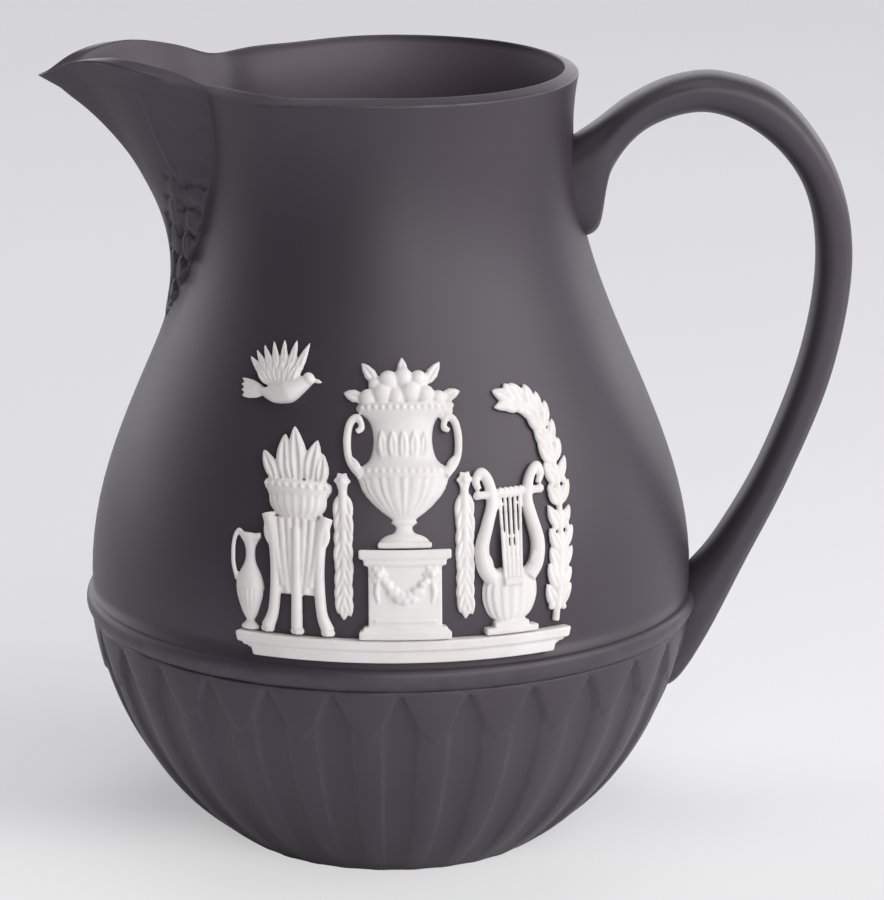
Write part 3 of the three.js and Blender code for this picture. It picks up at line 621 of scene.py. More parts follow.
@dataclass
class JugBody:
    """The hollow body, with its leaf moulding, half-round band, spout and rim."""

    wall: Wall
    leaf_count: int = 28
    columns_per_leaf: int = 18
    leaf_turn: float = 1.9
    flute_depth: float = 0.58
    flute_hollow: float = 0.3
    flute_share: float = 0.25
    flute_share_base: float = 0.29
    leaf_crown: float = 0.32
    dart_rise: float = 0.4
    dart_tip: float = 36.1
    flute_shoulder: float = 39.2
    flute_tip: float = 46.4
    edge: float = 0.026
    band_height: float = 49.9
    band_width: float = 4.9
    band_proud: float = 1.5
    floor_thickness: float = 5.0
    arris: float = 0.5
    inner_arris: float = 0.4
    rows: list[tuple[Array, Array]] = field(default_factory=list)
    hollow_row: int = 0

    @property
    def columns(self) -> int:
        """How many columns go round the body."""
        return self.leaf_count * self.columns_per_leaf

    def flute_half(self, height: float) -> float:
        """Gives half a flute's width, as a part of the spacing."""
        if height >= self.flute_tip:
            return 0.0
        if height <= self.flute_shoulder:
            down = 1 - height / self.flute_shoulder
            return self.flute_share + (self.flute_share_base - self.flute_share) * down**2
        up = (height - self.flute_shoulder) / (self.flute_tip - self.flute_shoulder)
        return self.flute_share * (1 - up**1.3)

    def leaf_lines(self, height: float) -> tuple[Array, Array, Array]:
        """Gives half a leaf at one height, from the flute's middle to the leaf's.

        Args:
            height: height above the base.

        Returns:
            Each line's place as a part of the spacing, its level, and how much it is painted paler: partly rubbing,
            partly a painted highlight.
        """
        half = self.flute_half(height)
        d = self.edge
        low = [0, half * 0.5, max(half - 2.6 * d, half * 0.7), max(half - d, half * 0.86)]
        top = max(half, d * 0.3) + d
        gap = 0.5 - top
        even = [top, top + gap * 0.2, top + gap * 0.4, top + gap * 0.6, top + gap * 0.8, 0.5]
        lines = np.array(low + even)
        hollow = self.flute_hollow * half / self.flute_share
        floor = -self.flute_depth if height < self.flute_tip else self.dart_rise
        levels = np.zeros(10)
        levels[:4] = floor - hollow * np.array([1, 0.75, 0.2, 0.0])
        wear_and_highlight = np.zeros(10)
        crown = self.leaf_crown * (1 - ((0.5 - lines) / (0.5 - half + 1e-6)) ** 2)
        levels[4:] = np.maximum(crown[4:], 0)
        # Painted highlight, partly rubbing: the leaf's edge beside the flute is painted paler.
        wear_and_highlight[4] = 0.25
        if height >= self.flute_shoulder:
            levels[4:] += self.dart_rise
        elif height > self.dart_tip:
            opened = (height - self.dart_tip) / (self.flute_shoulder - self.dart_tip)
            v = 0.5 - (0.5 - top) * opened
            before = max(v - d, (top + v) / 2)
            after = min(v + d, (v + 0.5) / 2)
            lines[5] = (top + before) / 2
            lines[6], lines[7] = before, after
            lines[8] = (after + 0.5) / 2
            crown = self.leaf_crown * (1 - ((0.5 - lines) / (0.5 - half)) ** 2)
            levels[5:] = np.maximum(crown[5:], 0)
            levels[7:] += self.dart_rise * float(ease(np.array(opened), 0, 0.3))
            levels[4:7] += self.dart_rise * float(ease(np.array(opened), 0.7, 1))
            # Painted highlight, partly rubbing, on the dart's edges.
            wear_and_highlight[7] = 0.2
        return lines, levels, wear_and_highlight

    def leaf_row(self, height: float, fade: float = 0.0, strength: float = 1.0) -> None:
        """Adds a row of the leaf moulding.

        Args:
            height: height above the base.
            fade: how far the lines have spread to even spacing, from 0 to 1.
            strength: the share of the full relief.
        """
        lines, levels, wear_and_highlight = self.leaf_lines(height)
        even = np.linspace(0, 0.5, 10)
        lines = lines + (even - lines) * fade
        share = np.concatenate([lines, 1 - lines[8:0:-1]])
        level = np.concatenate([levels, levels[8:0:-1]]) * strength
        rub_and_highlight = np.concatenate([wear_and_highlight, wear_and_highlight[8:0:-1]])
        leaf = np.arange(self.leaf_count)[:, None]
        angle = FRONT + self.leaf_turn + ((leaf + share) * 360 / self.leaf_count).ravel()
        out = np.tile(level, self.leaf_count) * self.wall.slant(angle, height)
        points = self.wall.point(angle, np.full(self.columns, height), -out)
        self.rows.append((points, np.tile(rub_and_highlight, self.leaf_count)))

    def plain_row(
        self, height: Array | float, inward: Array | float = 0.0, wear_and_highlight: Array | float = 0.0
    ) -> None:
        """Adds a row of the plain wall.

        Args:
            height: height above the base; what is above the rim's line is only raised.
            inward: how much nearer to the axis.
            wear_and_highlight: how much the row is painted paler, partly as rubbing and partly as a painted highlight,
                from 0 to 1.
        """
        level = np.full(self.columns, height) if np.isscalar(height) else height
        on_wall = np.minimum(level, self.wall.rim_height)
        points = self.wall.point(self.angles, on_wall, inward)
        points[:, 2] += level - on_wall
        self.rows.append((points, np.ones(self.columns) * wear_and_highlight))

    @property
    def angles(self) -> Array:
        """The angle of each column of the plain wall."""
        return FRONT + self.leaf_turn + np.arange(self.columns) * 360 / self.columns

    def disc_row(self, radius: float, height: float) -> None:
        """Adds a level round row, for the underside and the floor."""
        turn = np.radians(self.angles)
        level = np.full(self.columns, height)
        points = np.stack([radius * np.cos(turn), radius * np.sin(turn), level], -1)
        self.rows.append((points, np.zeros(self.columns)))

    @staticmethod
    def foot_strength(height: float) -> float:
        """Gives the share of the full relief near the base, where the flutes run out."""
        return 0.1 + 0.9 * float(ease(np.array(height), 0, 12))

    def outside(self) -> None:
        """Adds the rows from the middle of the underside up to the rim."""
        wall = self.wall
        for radius in (0, 12, 24, 28.6):
            self.disc_row(radius, 0)
        self.plain_row(0.0, 0.75)
        for height in (0.15, 0.45, 0.9):
            self.leaf_row(height, strength=self.foot_strength(height))
        heights = np.concatenate([
            np.linspace(1.7, self.dart_tip - 0.05, 20),
            np.linspace(self.dart_tip + 0.12, self.flute_shoulder - 0.02, 9),
            np.linspace(self.flute_shoulder + 0.02, self.flute_tip - 0.25, 13),
            [self.flute_tip - 0.08],
        ])
        for height in heights:
            self.leaf_row(float(height), strength=self.foot_strength(float(height)))
        band_foot = self.band_height - self.band_width / 2
        for share in (0.1, 0.4, 0.7, 1.0):
            height = self.flute_tip + (band_foot - self.flute_tip) * share
            self.leaf_row(height, fade=share)
        for turn in np.radians(np.linspace(0, 180, 13)):
            height = self.band_height - self.band_width / 2 * math.cos(turn)
            proud = self.band_proud * math.sin(turn) ** (1.35 if turn < math.pi / 2 else 1.0)
            # The band's crest is painted paler: partly rubbing, partly a painted highlight.
            self.plain_row(height, -proud * wall.slant(self.angles, height), 0.2 * math.sin(turn) ** 6)
        band_top = self.band_height + self.band_width / 2
        for height in np.linspace(band_top, wall.spout_foot, 14)[1:]:
            self.plain_row(float(height))
        away = wall.away(self.angles)
        top = wall.rim_height - self.lip_drop(away)
        for share in np.linspace(0, 1, 27)[1:]:
            self.plain_row(wall.spout_foot + (top - wall.spout_foot) * share)

    @staticmethod
    def lip_drop(away: Array) -> Array:
        """Gives how far below the rim's line its outer edge begins to round over."""
        return 0.75 + 0.6 * bell(away, 14, 7)

    @staticmethod
    def lip_rise(away: Array) -> Array:
        """Gives how much higher the inner edge of the rim is than the rim's line."""
        level = 0.45 + 0.3 * ease(away, 24, 34)
        return level - 0.4 * bell(away, 23.5, 3.5) + 0.5 * bell(away, 42, 12)

    def rim(self) -> None:
        """Adds the rows over the rim: its outer edge, the face that slopes in, its inner edge."""
        wall = self.wall
        away = wall.away(self.angles)
        slant = wall.slant(self.angles, wall.rim_height)
        across = self.hollow_depth(wall.rim_height)
        drop = self.lip_drop(away)
        start = self.arris * slant
        end = across - self.inner_arris * slant
        steep = self.lip_rise(away) / np.maximum(end - start, 0.5)
        corner = -start * steep
        # The middle of the outer rounding is painted paler: partly rubbing, partly a painted highlight.
        for t in np.linspace(0, 1, 8)[1:]:
            level = (1 - t) ** 2 * -drop + 2 * t * (1 - t) * corner
            self.plain_row(wall.rim_height + level, t**2 * start, 0.55 * math.sin(math.pi * t) ** 3)
        for share in (0.25, 0.5, 0.75):
            inward = start + (end - start) * share
            self.plain_row(wall.rim_height + (inward - start) * steep, inward)
        peak = (across - start) * steep
        # The inner edge is painted paler: partly rubbing, partly a painted highlight.
        for t in np.linspace(0, 1, 6):
            first, last = (end - start) * steep, peak - 0.6
            level = (1 - t) ** 2 * first + 2 * t * (1 - t) * peak + t**2 * last
            inward = end + (across - end) * (1 - (1 - t) ** 2)
            self.plain_row(wall.rim_height + level, inward, 0.4 * math.sin(math.pi * t) ** 3)

    def hollow_depth(self, height: float) -> Array:
        """Gives how far inside the wall the hollow's surface is, softer than the outside.

        Args:
            height: height above the base.

        Returns:
            The distance inwards for each column.
        """
        wall = self.wall
        reach = 14 * ease(wall.away(self.angles), 9, 22)
        soft = np.zeros(self.columns)
        turns = np.linspace(-1, 1, 35)
        weights = 1 + np.cos(math.pi * turns)
        for turn, weight in zip(turns, weights / weights.sum()):
            angle = self.angles + turn * reach
            away = wall.away(angle)
            thick = wall.wall_thickness(away) * wall.slant(angle, height)
            soft += weight * (wall.outer(away, height) - thick)
        return wall.outer(wall.away(self.angles), height) - soft

    def inside(self) -> None:
        """Adds the rows from the rim down to the middle of the floor."""
        wall = self.wall
        self.hollow_row = len(self.rows)
        heights = np.concatenate([
            np.linspace(wall.rim_height - 0.9, wall.spout_foot, 26),
            np.linspace(wall.spout_foot, 12.5, 18)[1:],
        ])
        for height in heights:
            self.plain_row(float(height), self.hollow_depth(float(height)))
        corner = float(wall.turned(12.5)) - wall.thickness * 1.5
        for turn in np.radians(np.linspace(20, 90, 5)):
            radius = corner - 7.5 * (1 - math.cos(turn))
            self.disc_row(radius, 12.5 - 7.5 * math.sin(turn))
        for radius in (20, 9, 0):
            self.disc_row(radius, self.floor_thickness)

    def build(self) -> Object:
        """Builds the body.

        Returns:
            The body, in place and in metres.
        """
        self.outside()
        self.rim()
        self.inside()
        body, row, column = spun_tube("jug_shell", len(self.rows), self.columns)
        points = np.stack([points for points, _ in self.rows])
        # Paler edges for the material to read: partly rubbing, partly a painted highlight.
        wear_and_highlight = np.stack([wear_and_highlight for _, wear_and_highlight in self.rows])
        place(body, points[row, column] * MM)
        set_attribute(body, "wear_and_highlight", wear_and_highlight[row, column])
        inner = np.zeros((len(self.rows), self.columns))
        away = self.wall.away(self.angles)
        # The hollow is paler away from the spout, partly as an unpolished inside and partly as painted light; the extra
        # on the wall towards the handle is painted light.
        inner[self.hollow_row:] = ease(away, 25, 75) + 0.33 * ease(away, 120, 160)
        set_attribute(body, "inner", inner[row, column])
        mend(body, 2e-6)
        bpy.ops.object.shade_smooth()
        return body


@dataclass
class StrapHandle:
    """The strap handle, from its root at the neck over the top and down to the belly."""

    wall: Wall
    outer: tuple[tuple[float, float], ...] = (
        (33, 143.6), (41, 149), (48.5, 154.6), (57.5, 158.6), (67.5, 159.2), (79.6, 154.2),
        (90, 140), (93.8, 121.8), (90.4, 98.8), (82, 76.4), (73, 57.8), (65, 41.4),
        (59, 32), (54, 30),
    )
    inner: tuple[tuple[float, float], ...] = (
        (35.5, 125.4), (42, 127.6), (44.4, 139.4), (51.6, 148.2), (63.5, 151.6), (75.2, 146.6),
        (83.6, 136.2), (86.4, 121), (83.6, 101.2), (75.8, 79.4), (67.2, 63.6), (61.2, 56),
        (57, 51.5), (52, 47),
    )
    half: tuple[float, ...] = (
        7.6, 8, 7.3, 6.9, 6.7, 6.7, 6.7, 6.7, 6.8, 7, 7.4, 7.8, 7.2, 6,
    )
    rows: int = 150
    columns: int = 48
    root_depth: float = 1.6

    def section(self) -> tuple[Array, Array, Array]:
        """Gives the strap's section, as shares of its half width and half thickness.

        Returns:
            The share across, the share outwards, and how much each column is painted paler along the arris: partly
            rubbing, partly a painted highlight.
        """
        turn = np.arange(self.columns) / self.columns * math.tau
        side = np.sign(np.cos(turn)) * np.abs(np.cos(turn)) ** 0.72
        lift = np.sin(turn)
        face = lift > 0
        lift = np.where(face, np.abs(lift) ** 0.62, lift)
        groove = np.exp(-(((np.abs(side) - 0.84) / 0.05) ** 2)) * face
        lift = lift - 0.05 * groove
        # A painted highlight, partly rubbing, along each arris of the face.
        arris = np.exp(-(((np.abs(side) - 0.93) / 0.05) ** 2)) * face
        return side, lift, 0.15 * arris

    def build(self) -> Object:
        """Builds the handle, with its roots let into the wall.

        Returns:
            The handle, in place and in metres.
        """
        handle, row, column = spun_tube("strap", self.rows, self.columns)
        outer = smooth_line(list(self.outer), self.rows - 2)
        inner = smooth_line(list(self.inner), self.rows - 2)
        half = smooth_line([(value,) for value in self.half], self.rows - 2)[:, 0]
        side, lift, rub_and_highlight = self.section()
        middle = (outer + inner) / 2
        across = (outer - inner) / 2
        grid = np.zeros((self.rows, self.columns, 3))
        grid[1:-1, :, 0] = middle[:, :1] + across[:, :1] * lift
        grid[1:-1, :, 2] = middle[:, 1:] + across[:, 1:] * lift
        grid[1:-1, :, 1] = half[:, None] * side
        grid[0] = grid[1].mean(0)
        grid[-1] = grid[-2].mean(0)
        points = grid[row, column]
        radius = np.hypot(points[:, 0], points[:, 1])
        deep = self.wall.turned(points[:, 2]) - self.root_depth
        push = np.maximum(radius, deep) / np.maximum(radius, 1e-6)
        points[:, :2] *= push[:, None]
        place(handle, points * MM)
        set_attribute(handle, "wear_and_highlight", rub_and_highlight[column])
        mend(handle, 2e-6)
        bpy.ops.object.shade_smooth()
        return handle


# The pressed pieces


class Bench:
    """A modelling bench: forms are drawn flat, across along X, up along Z and out along -Y."""

    @staticmethod
    def block(
        low: tuple[float, float], high: tuple[float, float], depth: float, bevel: float = 0.3
    ) -> Object:
        """Makes a block with eased edges.

        Args:
            low: its left and lowest.
            high: its right and highest.
            depth: how far it stands out.
            bevel: the width of its eased edges.

        Returns:
            The form.
        """
        deselect()
        centre = ((low[0] + high[0]) / 2, 0.5 - (depth + 0.5) / 2, (low[1] + high[1]) / 2)
        bpy.ops.mesh.primitive_cube_add(size=1, location=centre)
        form = bpy.context.object
        form.scale = (high[0] - low[0], depth + 0.5, high[1] - low[1])
        bpy.ops.object.transform_apply(location=True, rotation=False, scale=True)
        bpy.ops.object.mode_set(mode="EDIT")
        bpy.ops.mesh.select_all(action="SELECT")
        bpy.ops.mesh.bevel(offset=bevel, segments=3, affect="EDGES")
        bpy.ops.object.mode_set(mode="OBJECT")
        return form

    @staticmethod
    def turned(
        centre: float,
        profile: list[tuple[float, float]],
        squash: float = 0.5,
        ribs: int = 0,
        ribbed: tuple[float, float] = (0.0, 0.0),
        rib_depth: float = 0.1,
    ) -> Object:
        """Turns a profile round an upright axis and presses it flatter.

        Args:
            centre: where the axis stands.
            profile: radius and height of each point, from the foot to the top.
            squash: depth as a share of the true one.
            ribs: lobes all round.
            ribbed: the heights between which the lobes are.
            rib_depth: depth of the grooves between lobes, as a share of the radius.

        Returns:
            The form.
        """
        line = smooth_line(profile, len(profile) * 5)
        line[:, 0] = np.maximum(line[:, 0], 0.02)
        count = len(line)
        form, row, column = spun_tube("turned", count + 2, 64)
        radius = np.concatenate([[0], line[:, 0], [0]])[row]
        height = np.concatenate([line[:1, 1], line[:, 1], line[-1:, 1]])[row]
        turn = column / 64 * math.tau
        if ribs:
            inside = (height > ribbed[0]) & (height < ribbed[1])
            radius = radius * (1 - rib_depth * inside * (1 - np.abs(np.sin(turn * ribs / 2))))
        x = centre + radius * np.cos(turn)
        y = radius * np.sin(turn) * squash
        place(form, np.stack([x, y, height], -1))
        mend(form)
        return form

    @staticmethod
    def strand(
        points: list[tuple[float, ...]], radii: list[float], out: float = 0.6, sides: int = 12
    ) -> Object:
        """Draws a round strand along a smooth line.

        Args:
            points: across and up of each point, with its own out where it has a third number.
            radii: the strand's radius along the line.
            out: how far its middle stands out.
            sides: columns round it.

        Returns:
            The form.
        """
        knots = [(*p, out) if len(p) == 2 else p for p in points]
        count = 6 * len(points) + 6
        line = smooth_line(knots, count)
        along = np.gradient(line, axis=0)
        along[:, 2] = 0
        along /= np.linalg.norm(along, axis=1, keepdims=True)
        radius = np.interp(np.linspace(0, 1, count), np.linspace(0, 1, len(radii)), radii)
        form, row, column = spun_tube("strand", count + 2, sides)
        grid = np.zeros((count + 2, sides, 3))
        turn = np.arange(sides) / sides * math.tau
        across, up = np.cos(turn), np.sin(turn)
        grid[1:-1, :, 0] = line[:, :1] - along[:, 1:2] * across * radius[:, None]
        grid[1:-1, :, 2] = line[:, 1:2] + along[:, :1] * across * radius[:, None]
        grid[1:-1, :, 1] = -line[:, 2:] - up * radius[:, None]
        grid[0] = grid[1].mean(0)
        grid[-1] = grid[-2].mean(0)
        place(form, grid[row, column])
        mend(form)
        return form

    @staticmethod
    def knob(x: float, z: float, radius: float, out: float = 0.5, tall: float = 1.0) -> Object:
        """Makes a round knob, fruit or bead."""
        deselect()
        bpy.ops.mesh.primitive_uv_sphere_add(segments=20, ring_count=12, radius=radius,
                                             location=(x, -out, z))
        form = bpy.context.object
        form.scale = (1, 0.85, tall)
        bpy.ops.object.transform_apply(location=True, rotation=False, scale=True)
        return form

    @staticmethod
    def leaf(
        x: float,
        z: float,
        turn: float,
        length: float,
        width: float,
        depth: float = 1.2,
        out: float = 0.2,
        curl: float = 0.0,
        notch: float = 0.0,
    ) -> Object:
        """Makes a leaf, flame or feather with a sunk middle rib.

        Args:
            x: its foot, across.
            z: its foot, up.
            turn: degrees from pointing right, counted up.
            length: from foot to point.
            width: at its widest.
            depth: how far it stands out at its fullest.
            out: how far its edge stands out.
            curl: how far its point bends sideways.
            notch: the depth of the cuts along its edge, as a share of its width.

        Returns:
            The form.
        """
        deselect()
        bpy.ops.mesh.primitive_uv_sphere_add(segments=16, ring_count=18, radius=0.5)
        form = bpy.context.object
        p = places(form)
        along = p[:, 2] + 0.5
        flare = np.sin(math.pi * np.clip(along, 0, 1) ** 0.85) ** 0.8
        flare = flare / np.maximum(np.sqrt(np.clip(1 - (2 * along - 1) ** 2, 0.02, 1)), 0.1)
        lobes = 1 - notch * np.abs(np.sin(along * math.pi * 4))
        side = p[:, 0] * width * np.minimum(flare, 1.1) * lobes
        rib = 1 - 0.45 * np.exp(-((p[:, 0] / 0.07) ** 2))
        front = np.where(p[:, 1] < 0, -p[:, 1] * 2 * rib * depth, -0.1)
        side = side + curl * along**2
        angle = math.radians(turn)
        px = x + along * length * math.cos(angle) - side * math.sin(angle)
        pz = z + along * length * math.sin(angle) + side * math.cos(angle)
        place(form, np.stack([px, -(out + front), pz], -1))
        return form


@dataclass
class PressedPiece:
    """A piece pressed in a mould and laid on the wall."""

    name: str
    voxel: float = 0.2
    smoothing: int = 3
    seat: float = -0.35

    def forms(self) -> list[Object]:
        """Draws the piece's forms flat; each kind of piece has its own."""
        raise NotImplementedError

    def fuse(self) -> Object:
        """Joins the forms and softens them as a mould does.

        Returns:
            One closed form, still flat and in millimetres.
        """
        forms = self.forms()
        for form in forms:
            points = places(form)
            points[:, 1] = np.minimum(points[:, 1], -self.seat)
            place(form, points)
        deselect()
        for form in forms:
            form.select_set(True)
        bpy.context.view_layer.objects.active = forms[0]
        if len(forms) > 1:
            bpy.ops.object.join()
        piece = bpy.context.object
        remesh = piece.modifiers.new("mould", "REMESH")
        remesh.mode = "VOXEL"
        remesh.voxel_size = self.voxel
        soften = piece.modifiers.new("soften", "SMOOTH")
        soften.factor = 0.5
        soften.iterations = self.smoothing
        apply_all(piece)
        return piece

    def press(self, wall: Wall, material: bpy.types.Material) -> None:
        """Makes the piece for the front and a copy for the back.

        Args:
            wall: the wall that it is laid on.
            material: its finish.
        """
        piece = self.fuse()
        flat = places(piece)
        out = -flat[:, 1]
        angle = FRONT + 2.6 + np.degrees(flat[:, 0] / wall.turned(flat[:, 2]))
        place(piece, wall.lay(angle, flat[:, 2], out) * MM)
        set_attribute(piece, "depth", out)
        only(piece)
        bpy.ops.object.shade_smooth()
        bpy.ops.object.duplicate()
        other = bpy.context.object
        bpy.ops.object.mode_set(mode="EDIT")
        bpy.ops.mesh.select_all(action="SELECT")
        bpy.ops.object.mode_set(mode="OBJECT")
        turned = places(other) * np.array([-1, -1, 1])
        place(other, turned)
        for obj, face in ((piece, Face.FRONT), (other, Face.BACK)):
            node = f"{self.name}_{face.value}"
            finish_piece(obj, f"relief_{node}", material, [node])


FLOOR_LINE = 58.9


@dataclass
class Plinth(PressedPiece):
    """The long moulded ledge that the group stands on."""

    bottom: float = 54.0
    height: float = 4.6
    half: float = 33.9
    taper: float = 2.4

    def forms(self) -> list[Object]:
        """Draws the ledge in three mouldings."""
        z, h = self.bottom, self.height
        foot = Bench.block((-self.half + self.taper, z), (self.half - self.taper, z + h * 0.42), 1.5, 0.25)
        neck = Bench.block((-self.half + 1.6, z + h * 0.3), (self.half - 1.6, z + h * 0.62), 1.15, 0.2)
        top = Bench.block((-self.half, z + h * 0.56), (self.half, z + h), 2.2, 0.35)
        for form in (foot, neck, top):
            pick(form, np.ones(len(form.data.vertices), bool))
            bpy.ops.mesh.subdivide(number_cuts=3)
            bpy.ops.object.mode_set(mode="OBJECT")
            points = places(form)
            lean = (points[:, 2] - z) / h - 1
            points[:, 0] += np.sign(points[:, 0]) * lean * 1.2 * (np.abs(points[:, 0]) > self.half * 0.8)
            place(form, points)
        bead = Bench.strand([(-self.half + 1.4, z + h * 0.5), (0, z + h * 0.5), (self.half - 1.4, z + h * 0.5)],
                            [0.45, 0.45], out=1.1)
        return [foot, neck, top, bead]


@dataclass
class Pedestal(PressedPiece):
    """The square altar under the urn."""

    half: float = 8.8
    height: float = 17.0
    depth: float = 2.7

    def forms(self) -> list[Object]:
        """Draws the altar, with a swag between two roses."""
        z, h, w = FLOOR_LINE, self.height, self.half
        forms = [
            Bench.block((-w, z), (w, z + 1.6), self.depth, 0.25),
            Bench.block((-w * 0.92, z + 1.4), (w * 0.92, z + 2.4), self.depth * 0.9, 0.3),
            Bench.block((-w * 0.8, z + 2.2), (w * 0.8, z + h - 2.8), self.depth * 0.72, 0.2),
            Bench.block((-w * 0.9, z + h - 3), (w * 0.9, z + h - 1.6), self.depth * 0.9, 0.35),
            Bench.block((-w, z + h - 1.8), (w, z + h), self.depth, 0.3),
        ]
        top = z + h - 4.6
        out = self.depth * 0.72
        for i, share in enumerate(np.linspace(-1, 1, 15)):
            drop = 4.4 * (1 - share**2)
            size = 0.62 + 0.5 * (1 - share**2)
            forms.append(Bench.knob(share * w * 0.52, top - drop + 0.25 * (-1) ** i, size, out + 0.15))
        for side in (-1, 1):
            x = side * w * 0.58
            forms += [Bench.leaf(x, top, turn, 1.9, 1.25, 0.5, out) for turn in range(0, 360, 60)]
            forms.append(Bench.knob(x, top, 0.62, out + 0.45))
            forms.append(Bench.strand([(x, top - 1), (x + side * 0.35, top - 3.2), (x, top - 5.4)],
                                      [0.42, 0.55, 0.12], out + 0.1))
        forms.append(Bench.strand([(-w * 0.66, z + 3.6), (w * 0.66, z + 3.6)], [0.3, 0.3], out))
        return forms


@dataclass
class Urn(PressedPiece):
    """The two-handled urn, filled with fruit."""

    foot: float = 76.2
    half: float = 9.4
    height: float = 26.5

    def forms(self) -> list[Object]:
        """Draws the urn, its handles, its fruit and three tall leaves."""
        z, h, w = self.foot, self.height, self.half
        profile = [
            (w * 0.3, z + 0.0), (w * 0.5, z + 0.1), (w * 0.52, z + h * 0.05), (w * 0.4, z + h * 0.085),
            (w * 0.22, z + h * 0.11), (w * 0.18, z + h * 0.15), (w * 0.28, z + h * 0.18),
            (w * 0.26, z + h * 0.205), (w * 0.5, z + h * 0.26), (w * 0.86, z + h * 0.38),
            (w * 0.99, z + h * 0.5), (w * 0.97, z + h * 0.545), (w * 0.74, z + h * 0.6),
            (w * 0.64, z + h * 0.68), (w * 0.62, z + h * 0.78), (w * 0.7, z + h * 0.88),
            (w * 0.93, z + h * 0.94), (w * 0.96, z + h * 0.97), (w * 0.9, z + h),
        ]
        forms = [
            Bench.block((-w * 0.55, z), (w * 0.55, z + 1.1), 2.1, 0.2),
            Bench.turned(0, profile, 0.35, 26, (z + h * 0.22, z + h * 0.49), 0.12),
        ]
        for share in np.linspace(-0.9, 0.9, 13):
            out = 3.1 * math.sqrt(1 - share**2 * 0.9)
            forms.append(Bench.knob(share * w * 0.95, z + h * 0.53, 0.5, out))
            forms.append(Bench.knob(share * w * 0.92, z + h * 0.965, 0.46, out))
        for share in (-0.66, -0.33, 0, 0.33, 0.66):
            out = 2.1 * math.sqrt(1 - share**2)
            forms.append(Bench.leaf(share * w * 0.6, z + h * 0.61, 90 - share * 8, h * 0.2, 2.1, 0.6, out))
        for side in (-1, 1):
            forms.append(Bench.strand([
                (side * w * 0.86, z + h * 0.5, 1.2), (side * w * 1.1, z + h * 0.6, 1.1),
                (side * w * 1.15, z + h * 0.74, 1.0), (side * w * 1.08, z + h * 0.86, 1.0),
                (side * w * 0.92, z + h * 0.9, 1.1), (side * w * 0.84, z + h * 0.83, 1.2),
                (side * w * 0.95, z + h * 0.8, 1.4),
            ], [0.95, 0.75, 0.8, 0.75, 0.7, 0.6, 0.5]))
            forms.append(Bench.leaf(side * w * 0.9, z + h * 0.5, 90 - side * 28, 4.2, 2.2, 0.8, 1.2))
        top = z + h
        fruit = [(-6.6, 0.9, 1.7), (-3.9, 1.8, 2.1), (-1.2, 1.2, 1.9), (1.6, 2.1, 2.2), (4.4, 1.4, 1.9),
                 (6.9, 0.8, 1.5), (-2.6, 4.2, 1.9), (0.2, 4.8, 1.8), (3.1, 4.4, 1.7), (-5.2, 3.4, 1.3)]
        forms += [Bench.knob(x, top + up, r, 1.1) for x, up, r in fruit]
        for x, turn, length in ((-4.6, 128, 6.2), (0.2, 92, 6.6), (4.4, 54, 6.0), (-7.4, 168, 4.2), (7.4, 14, 4.2)):
            start = top + (3.4 if abs(x) < 5 else 0.9)
            rise = min(length, 8.6 - (start - top)) if 40 < turn < 140 else length
            forms.append(Bench.leaf(x, start, turn, rise, 2.6, 1.1, 0.5, notch=0.1))
        for i in range(9):
            forms.append(Bench.knob(8.0 + 0.9 * (i % 3) * 0.8 - 0.2 * (i // 3), top - 0.6 - 0.95 * (i // 3), 0.6, 1.0))
        return forms


